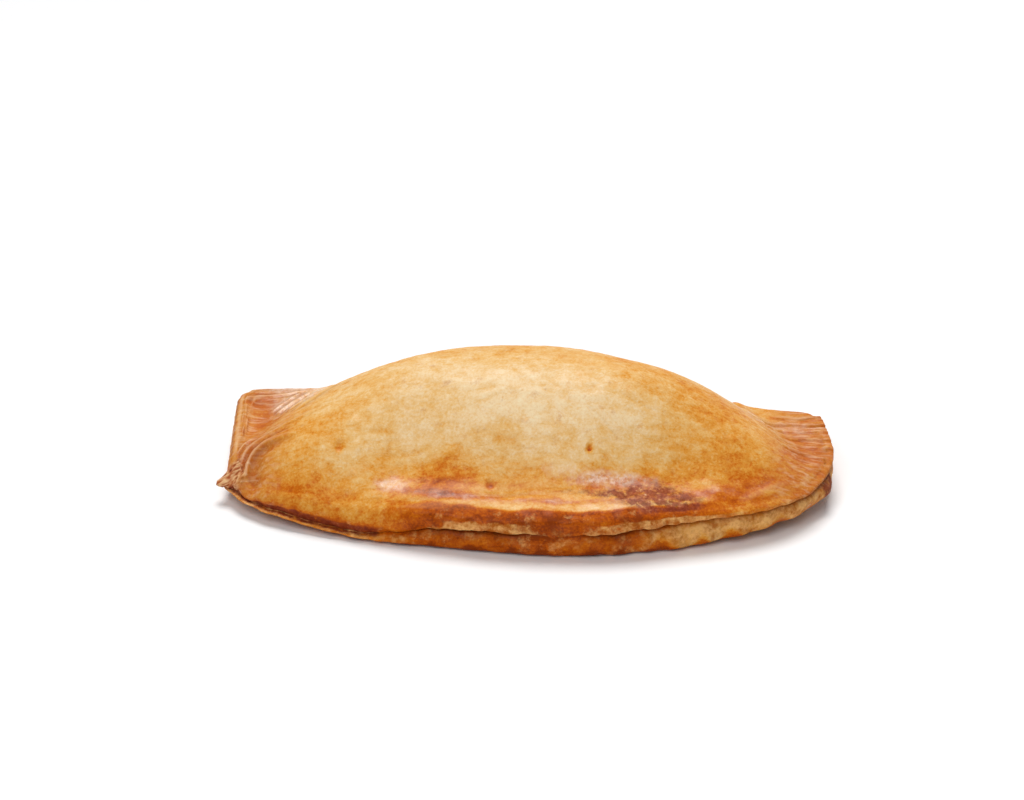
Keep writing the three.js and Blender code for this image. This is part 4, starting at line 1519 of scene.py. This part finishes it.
@dataclass(frozen=True)
class StudioPaper:
    """Matt white background paper, rolled out flat, which gives a soft shadow and no gloss."""

    name: str = "matt white background paper"
    white: str = "#fcfcfc"
    roughness: float = 0.9

    def make(self) -> bpy.types.Material:
        """Builds the material."""
        material = bpy.data.materials.new(self.name)
        material.use_nodes = True
        surface = material.node_tree.nodes["Principled BSDF"]
        surface.inputs["Base Color"].default_value = linear(self.white)
        surface.inputs["Roughness"].default_value = self.roughness
        return material


# ---- the pieces --------------------------------------------------------------------------
def new_piece(name: str, points: Array, faces: list, material: bpy.types.Material) -> bpy.types.Object:
    """Makes a smooth mesh object at the origin.

    Args:
        name: The piece's name.
        points: Its points, in metres.
        faces: Its faces, as lists of point numbers, seen anticlockwise from outside.
        material: Its material.

    Returns:
        The object, linked into the scene.
    """
    mesh = bpy.data.meshes.new(name)
    mesh.from_pydata(points.tolist(), [], faces)
    mesh.materials.append(material)
    mesh.shade_smooth()
    piece = bpy.data.objects.new(name, mesh)
    bpy.context.scene.collection.objects.link(piece)
    return piece


def keep_inside(piece: bpy.types.Object) -> None:
    """Brings the points of a piece that stand out of the solid's box back to its sides."""
    low, high = (np.array(corner) for corner in CAD_BOX)
    points = np.empty(len(piece.data.vertices) * 3)
    piece.data.vertices.foreach_get("co", points)
    points = np.clip(points.reshape(-1, 3), low, high)
    piece.data.vertices.foreach_set("co", points.ravel())
    piece.data.update()


@dataclass
class Crust:
    """The whole empanada as one closed mesh."""

    form: CrustForm = field(default_factory=CrustForm)
    relief: Relief = field(default_factory=Relief)
    rim: Rim = field(default_factory=Rim)
    browning: Browning = field(default_factory=Browning)
    rim_browning: RimBrowning = field(default_factory=RimBrowning)
    columns: int = 380
    rows: int = 165
    sole_rings: int = 4
    crowding: tuple[float, float] = (0.6, 0.85)  # how strongly the grid crowds at ends and fold
    left_end: Rise = Rise(-0.975, -0.02)  # where the rim turns into the slanted left end, in u
    left_corner: Rise = Rise(-1.0, 0.2)  # and how it begins at the front corner, in v
    fold_corner: float = 0.13
    middle_line: float = 0.8
    sole_marks: tuple[tuple[Mark, float], ...] = ((Mark.SOLE, 1.0), (Mark.BAKE, 0.6), (Mark.LINE_SHADING, 0.5))
    grains: tuple[tuple[str, float, float, float], ...] = (  # name, height and size in mm, detail
        ("Peel", 0.16, 2.3, 3.0),
        ("Crease", 0.12, 5.5, 2.0),
        ("Crumb", 0.85, 2.8, 4.0),
        ("Pebble", 0.2, 1.7, 0.0),
        ("Torn", 0.45, 1.1, 3.0),
    )
    crease_squeeze: tuple[float, float, float] = (0.45, 1.6, 0.8)  # draws creases out along the length
    crease_sharpness: float = 0.5
    seam_calm: float = 0.8  # how much smoother the dough is in the seam
    torn_folds: float = 4.0  # how narrow the torn shreds' crests are
    peel_share: float = 0.25  # how strongly peel and creases show in the stored painted shade
    seed: int = 11

    def grid(self) -> tuple[Array, Array]:
        """The grid's columns and rows, crowded towards the ends and the fold."""
        ends, fold = self.crowding
        t = np.linspace(-1.0, 1.0, self.columns + 1)
        us = mix(t, np.sin(t * np.pi / 2.0), ends)
        t = np.linspace(0.0, 1.0, self.rows + 1)
        return us, 2.0 * mix(t, np.sin(t * np.pi / 2.0), fold) - 1.0

    def boundary(self) -> Array:
        """Column and row of the grid's edge, anticlockwise from the front left corner."""
        i, j = np.arange(self.columns), np.arange(self.rows)
        front = np.stack([i, 0 * i], 1)
        right = np.stack([0 * j + self.columns, j], 1)
        back = np.stack([self.columns - i, 0 * i + self.rows], 1)
        left = np.stack([0 * j, self.rows - j], 1)
        return np.vstack([front, right, back, left])

    def shape(self) -> tuple[Array, list, dict[Mark, Array]]:
        """Works out the mesh.

        Returns:
            Points in millimetres, faces, and each mark's value for each point.
        """
        form, rim = self.form, self.rim
        us, vs = self.grid()
        u, v = np.meshgrid(us, vs, indexing="ij")
        x, y = form.plan(u, v)
        raised, tone = self.relief.at(u, v, form)
        top = np.stack([x, y, form.height(x, y) + raised], axis=2)
        marks = self.browning.marks(x, y, tone, form)
        index = np.arange((self.columns + 1) * (self.rows + 1)).reshape(self.columns + 1, -1)
        faces = [
            np.stack([index[:-1, :-1], index[1:, :-1], index[1:, 1:], index[:-1, 1:]], 2).reshape(-1, 4)
        ]

        edge = self.boundary()
        here = top[edge[:, 0], edge[:, 1]]
        along = np.roll(here, -1, axis=0) - np.roll(here, 1, axis=0)
        along = along[:, :2] / np.linalg.norm(along[:, :2], axis=1, keepdims=True)
        edge_u, edge_v = us[edge[:, 0]], vs[edge[:, 1]]
        folded = smooth((edge_v - 1.0 + self.fold_corner) / self.fold_corner)
        left_end = self.left_end.at(edge_u) * self.left_corner.at(edge_v)
        ex, ey = here[:, 0], here[:, 1]
        inset = mix(*form.under_inset, form.presence(ex, ey))
        sealed_out, sealed_level = rim.sealed(ex, ey, left_end)
        roll_out, roll_level = rim.folded(inset)
        out = mix(sealed_out, roll_out, folded)
        level = mix(sealed_level, roll_level, folded)
        split = rim.seam_level.at(ex)
        upper_share = np.clip((level - split) / (1.0 - split), 0.0, 1.0)
        edge_inset = ey - form.front_y(ex)
        drop = form.lip_drop(ex, edge_inset - out) - form.lip_drop(ex, edge_inset)
        height = mix(form.clearance(ex), here[:, 2], level) - drop * upper_share
        rings = np.stack([ex + along[:, 1] * out, ey - along[:, 0] * out, height], axis=2)
        rim_marks = self.rim_browning.marks(ex, ey, left_end, folded, rim, form)

        # underside: rings from the foot in to a middle line that the front and the fold share
        mx, my = form.plan(self.middle_line * us, 0.0 * us)
        middle = np.stack([mx, my, form.clearance(mx)], axis=1)
        share = np.arange(1, self.sole_rings)[:, None, None] / self.sole_rings
        sole = mix(rings[-1][None], middle[edge[:, 0]][None], share)

        around = len(edge)
        first = index.size
        lines = [index[edge[:, 0], edge[:, 1]]]
        for ring in range(len(rings) + len(sole)):
            lines.append(first + ring * around + np.arange(around))
        for above, below in zip(lines[:-1], lines[1:]):
            faces.append(np.stack([below, np.roll(below, -1), np.roll(above, -1), above], axis=1))
        middle_start = first + (len(rings) + len(sole)) * around
        inner, column = lines[-1], edge[:, 0]
        following = np.roll(column, -1)
        closing = np.stack([inner, middle_start + column, middle_start + following, np.roll(inner, -1)], 1)
        same = column == following
        quads = np.vstack([*faces, closing[~same]]).tolist() + closing[same][:, [0, 1, 3]].tolist()

        points = np.vstack([top.reshape(-1, 3), rings.reshape(-1, 3), sole.reshape(-1, 3), middle])
        under = points.shape[0] - first - rings.shape[0] * around
        sole_marks, values = dict(self.sole_marks), {}
        for mark in Mark:
            below = np.full(under, sole_marks.get(mark, 0.0))
            values[mark] = np.concatenate([marks[mark].ravel(), rim_marks[mark].ravel(), below])
        return points, quads, values

    def placed(self, points: Array) -> Array:
        """Fits the form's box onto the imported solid's box.

        Args:
            points: The mesh's points in millimetres.

        Returns:
            The points in metres, in the solid's frame.
        """
        low, high = (np.array(corner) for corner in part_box(NODE))
        least, most = points.min(axis=0), points.max(axis=0)
        return low + (points - least) / (most - least) * (high - low)

    def skin(self, material: bpy.types.Material) -> Recipe:
        """The dough's fine relief: orange peel, creases, crumb on cut dough, and shreds where it tore.

        Args:
            material: What the finished crust is made of.

        Returns:
            The tree, ready to run on the crust.
        """
        sizes, detail = {}, {}
        for name, height, size, layers in self.grains:
            sizes[f"{name} Height"], sizes[f"{name} Size"] = height * MM, size * MM
            detail[name] = layers
        recipe = Recipe("dough skin", sizes, self.seed, material)
        given, grain = recipe.given, recipe.grain
        node = partial(add, recipe.tree)
        place = node(Step.POSITION)
        used = (Mark.CUT, Mark.SOLE, Mark.GROOVE_SHADE, Mark.CRACKLE, Mark.TORN)
        marks = {mark: node(Step.MARK, mark.value) for mark in used}

        # orange peel, creases and small blisters on the skin
        covered = node(Step.SUBTRACT, 1.0, node(Step.MAXIMUM, marks[Mark.CUT], marks[Mark.SOLE]))
        peel = grain(place, "Peel", detail["Peel"])
        drawn = node(Step.VECTOR_MULTIPLY, place, self.crease_squeeze)
        crease = node(Step.ABSOLUTE, grain(drawn, "Crease", detail["Crease"]))
        crease = node(Step.POWER, crease, self.crease_sharpness)
        crease = node(Step.SUBTRACT, node(Step.MULTIPLY, crease, 2.0), 1.0)
        peel_rise = node(Step.MULTIPLY, peel, given["Peel Height"])
        rise = node(Step.ADD, peel_rise, node(Step.MULTIPLY, crease, given["Crease Height"]))
        cells = node(Step.SOFT_CELLS, place, node(Step.DIVIDE, 1.0, given["Pebble Size"]))
        pebble = node(Step.MULTIPLY, node(Step.SUBTRACT, 0.5, cells), marks[Mark.CRACKLE])
        rise = node(Step.ADD, rise, node(Step.MULTIPLY, pebble, given["Pebble Height"]))
        rise = node(Step.MULTIPLY, rise, node(Step.MAXIMUM, covered, 0.0))

        # crumb on cut dough, and shreds on torn dough
        crumb = node(Step.MULTIPLY, grain(place, "Crumb", detail["Crumb"]), given["Crumb Height"])
        rise = node(Step.ADD, rise, node(Step.MULTIPLY, crumb, marks[Mark.CUT]))
        calm = node(Step.SUBTRACT, 1.0, node(Step.MULTIPLY, marks[Mark.GROOVE_SHADE], self.seam_calm))
        rise = node(Step.MULTIPLY, rise, calm)
        shreds = node(Step.ABSOLUTE, grain(place, "Torn", detail["Torn"]))
        shred_relief_and_shade = node(Step.SUBTRACT, 1.0, node(Step.MULTIPLY, shreds, self.torn_folds))
        torn = node(Step.MULTIPLY, node(Step.MULTIPLY, shred_relief_and_shade, given["Torn Height"]), marks[Mark.TORN])
        rise = node(Step.ADD, rise, torn)

        # the painted light and shade that the material reads, and the relief itself
        tone = node(Step.MULTIPLY, node(Step.ADD, peel, crease), self.peel_share)
        stored = node(Step.STORE, given["Geometry"], SHRED_SHADE, shred_relief_and_shade)
        stored = node(Step.STORE, stored, PEEL_SHADE, node(Step.ADD, tone, 0.5))
        offset = node(Step.VECTOR_SCALE, node(Step.NORMAL), rise)
        recipe.end(node(Step.MOVE, stored, offset))
        return recipe

    def build(self, material: bpy.types.Material) -> bpy.types.Object:
        """Makes the crust and puts it in the solid's place.

        Args:
            material: What it is made of.

        Returns:
            The finished piece.
        """
        points, faces, marks = self.shape()
        piece = new_piece("crust", self.placed(points), faces, material)
        for mark, values in marks.items():
            layer = piece.data.attributes.new(mark.value, "FLOAT", "POINT")
            layer.data.foreach_set("value", np.clip(values, 0.0, 1.0).astype(np.float32))
        self.skin(material).run(piece)
        keep_inside(piece)
        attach(piece, BODY)
        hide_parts(NODE)
        return piece


# ---- studio ------------------------------------------------------------------------------
@dataclass(frozen=True)
class PhotoCamera:
    """The camera that sees the empanada as it was photographed."""

    place: tuple[float, float, float] = (27.362, -592.233, 340.156)
    elevation: float = 28.0
    azimuth: float = 3.0
    lens: float = 94.25
    sensor: float = 36.0
    clip: tuple[float, float] = (0.01, 20.0)

    def make(self) -> bpy.types.Object:
        """Makes the camera and gives it to the scene."""
        data = bpy.data.cameras.new("photo camera")
        data.lens, data.sensor_width = self.lens, self.sensor
        data.clip_start, data.clip_end = self.clip
        camera = bpy.data.objects.new("photo camera", data)
        camera.location = Vector(self.place) * MM
        camera.rotation_euler = (math.radians(90.0 - self.elevation), 0.0, math.radians(self.azimuth))
        bpy.context.scene.collection.objects.link(camera)
        bpy.context.scene.camera = camera
        return camera


def away(azimuth: float, elevation: float) -> Vector:
    """The direction in which a light stands.

    Args:
        azimuth: Degrees from the front, with 90 to the right.
        elevation: Degrees above the floor.

    Returns:
        The direction, of length 1.
    """
    a, e = math.radians(azimuth), math.radians(elevation)
    return Vector((math.sin(a) * math.cos(e), -math.cos(a) * math.cos(e), math.sin(e)))


@dataclass(frozen=True)
class Softbox:
    """A square light panel, aimed at the empanada."""

    name: str
    azimuth: float
    elevation: float
    distance: float
    side: float
    watts: float

    def make(self) -> bpy.types.Object:
        """Hangs the panel."""
        data = bpy.data.lights.new(self.name, "AREA")
        data.energy, data.size = self.watts, self.side
        light = bpy.data.objects.new(self.name, data)
        towards = away(self.azimuth, self.elevation)
        light.location = towards * self.distance
        light.rotation_euler = towards.to_track_quat("Z", "Y").to_euler()
        bpy.context.scene.collection.objects.link(light)
        return light


@dataclass(frozen=True)
class Studio:
    """Pale floor, white surroundings and soft panels."""

    floor_radius: float = 6.0
    surroundings: float = 0.19
    sun_strength: float = 2.25
    sun_elevation: float = 66.0
    sun_azimuth: float = 185.0
    sun_softness: float = 34.0
    panels: tuple[Softbox, ...] = (
        Softbox("front panel", -20.0, 50.0, 0.9, 0.6, 2.8),
        Softbox("back panel", 172.0, 26.0, 0.9, 0.3, 0.4),
        Softbox("right back panel", 140.0, 14.0, 0.9, 0.3, 0.8),
    )

    def make_floor(self) -> bpy.types.Object:
        """Lays the floor that the empanada stands on."""
        corners = self.floor_radius * np.array([[-1, -1, 0], [1, -1, 0], [1, 1, 0], [-1, 1, 0]], float)
        floor = new_piece("floor", corners, [[0, 1, 2, 3]], StudioPaper().make())
        return floor

    def light(self) -> None:
        """Lights the set."""
        world = bpy.data.worlds.new("white surroundings")
        world.use_nodes = True
        background = world.node_tree.nodes["Background"]
        background.inputs["Color"].default_value = (1.0, 1.0, 1.0, 1.0)
        background.inputs["Strength"].default_value = self.surroundings
        bpy.context.scene.world = world
        data = bpy.data.lights.new("overhead light", "SUN")
        data.energy, data.angle = self.sun_strength, math.radians(self.sun_softness)
        sun = bpy.data.objects.new("overhead light", data)
        towards = away(self.sun_azimuth, self.sun_elevation)
        sun.rotation_euler = towards.to_track_quat("Z", "Y").to_euler()
        bpy.context.scene.collection.objects.link(sun)
        for panel in self.panels:
            panel.make()
        bpy.context.scene.view_settings.view_transform = "Standard"


def main() -> None:
    """Builds the studio and the empanada, and reports each piece."""
    logging.basicConfig(level=logging.INFO, format="%(name)s: %(message)s")
    PhotoCamera().make()
    studio = Studio()
    studio.make_floor()
    studio.light()
    crust = Crust().build(EggWashedCrust().make())
    LOG.info("%s: %d faces", crust.name, len(crust.data.polygons))


if __name__ == "__main__":
    main()
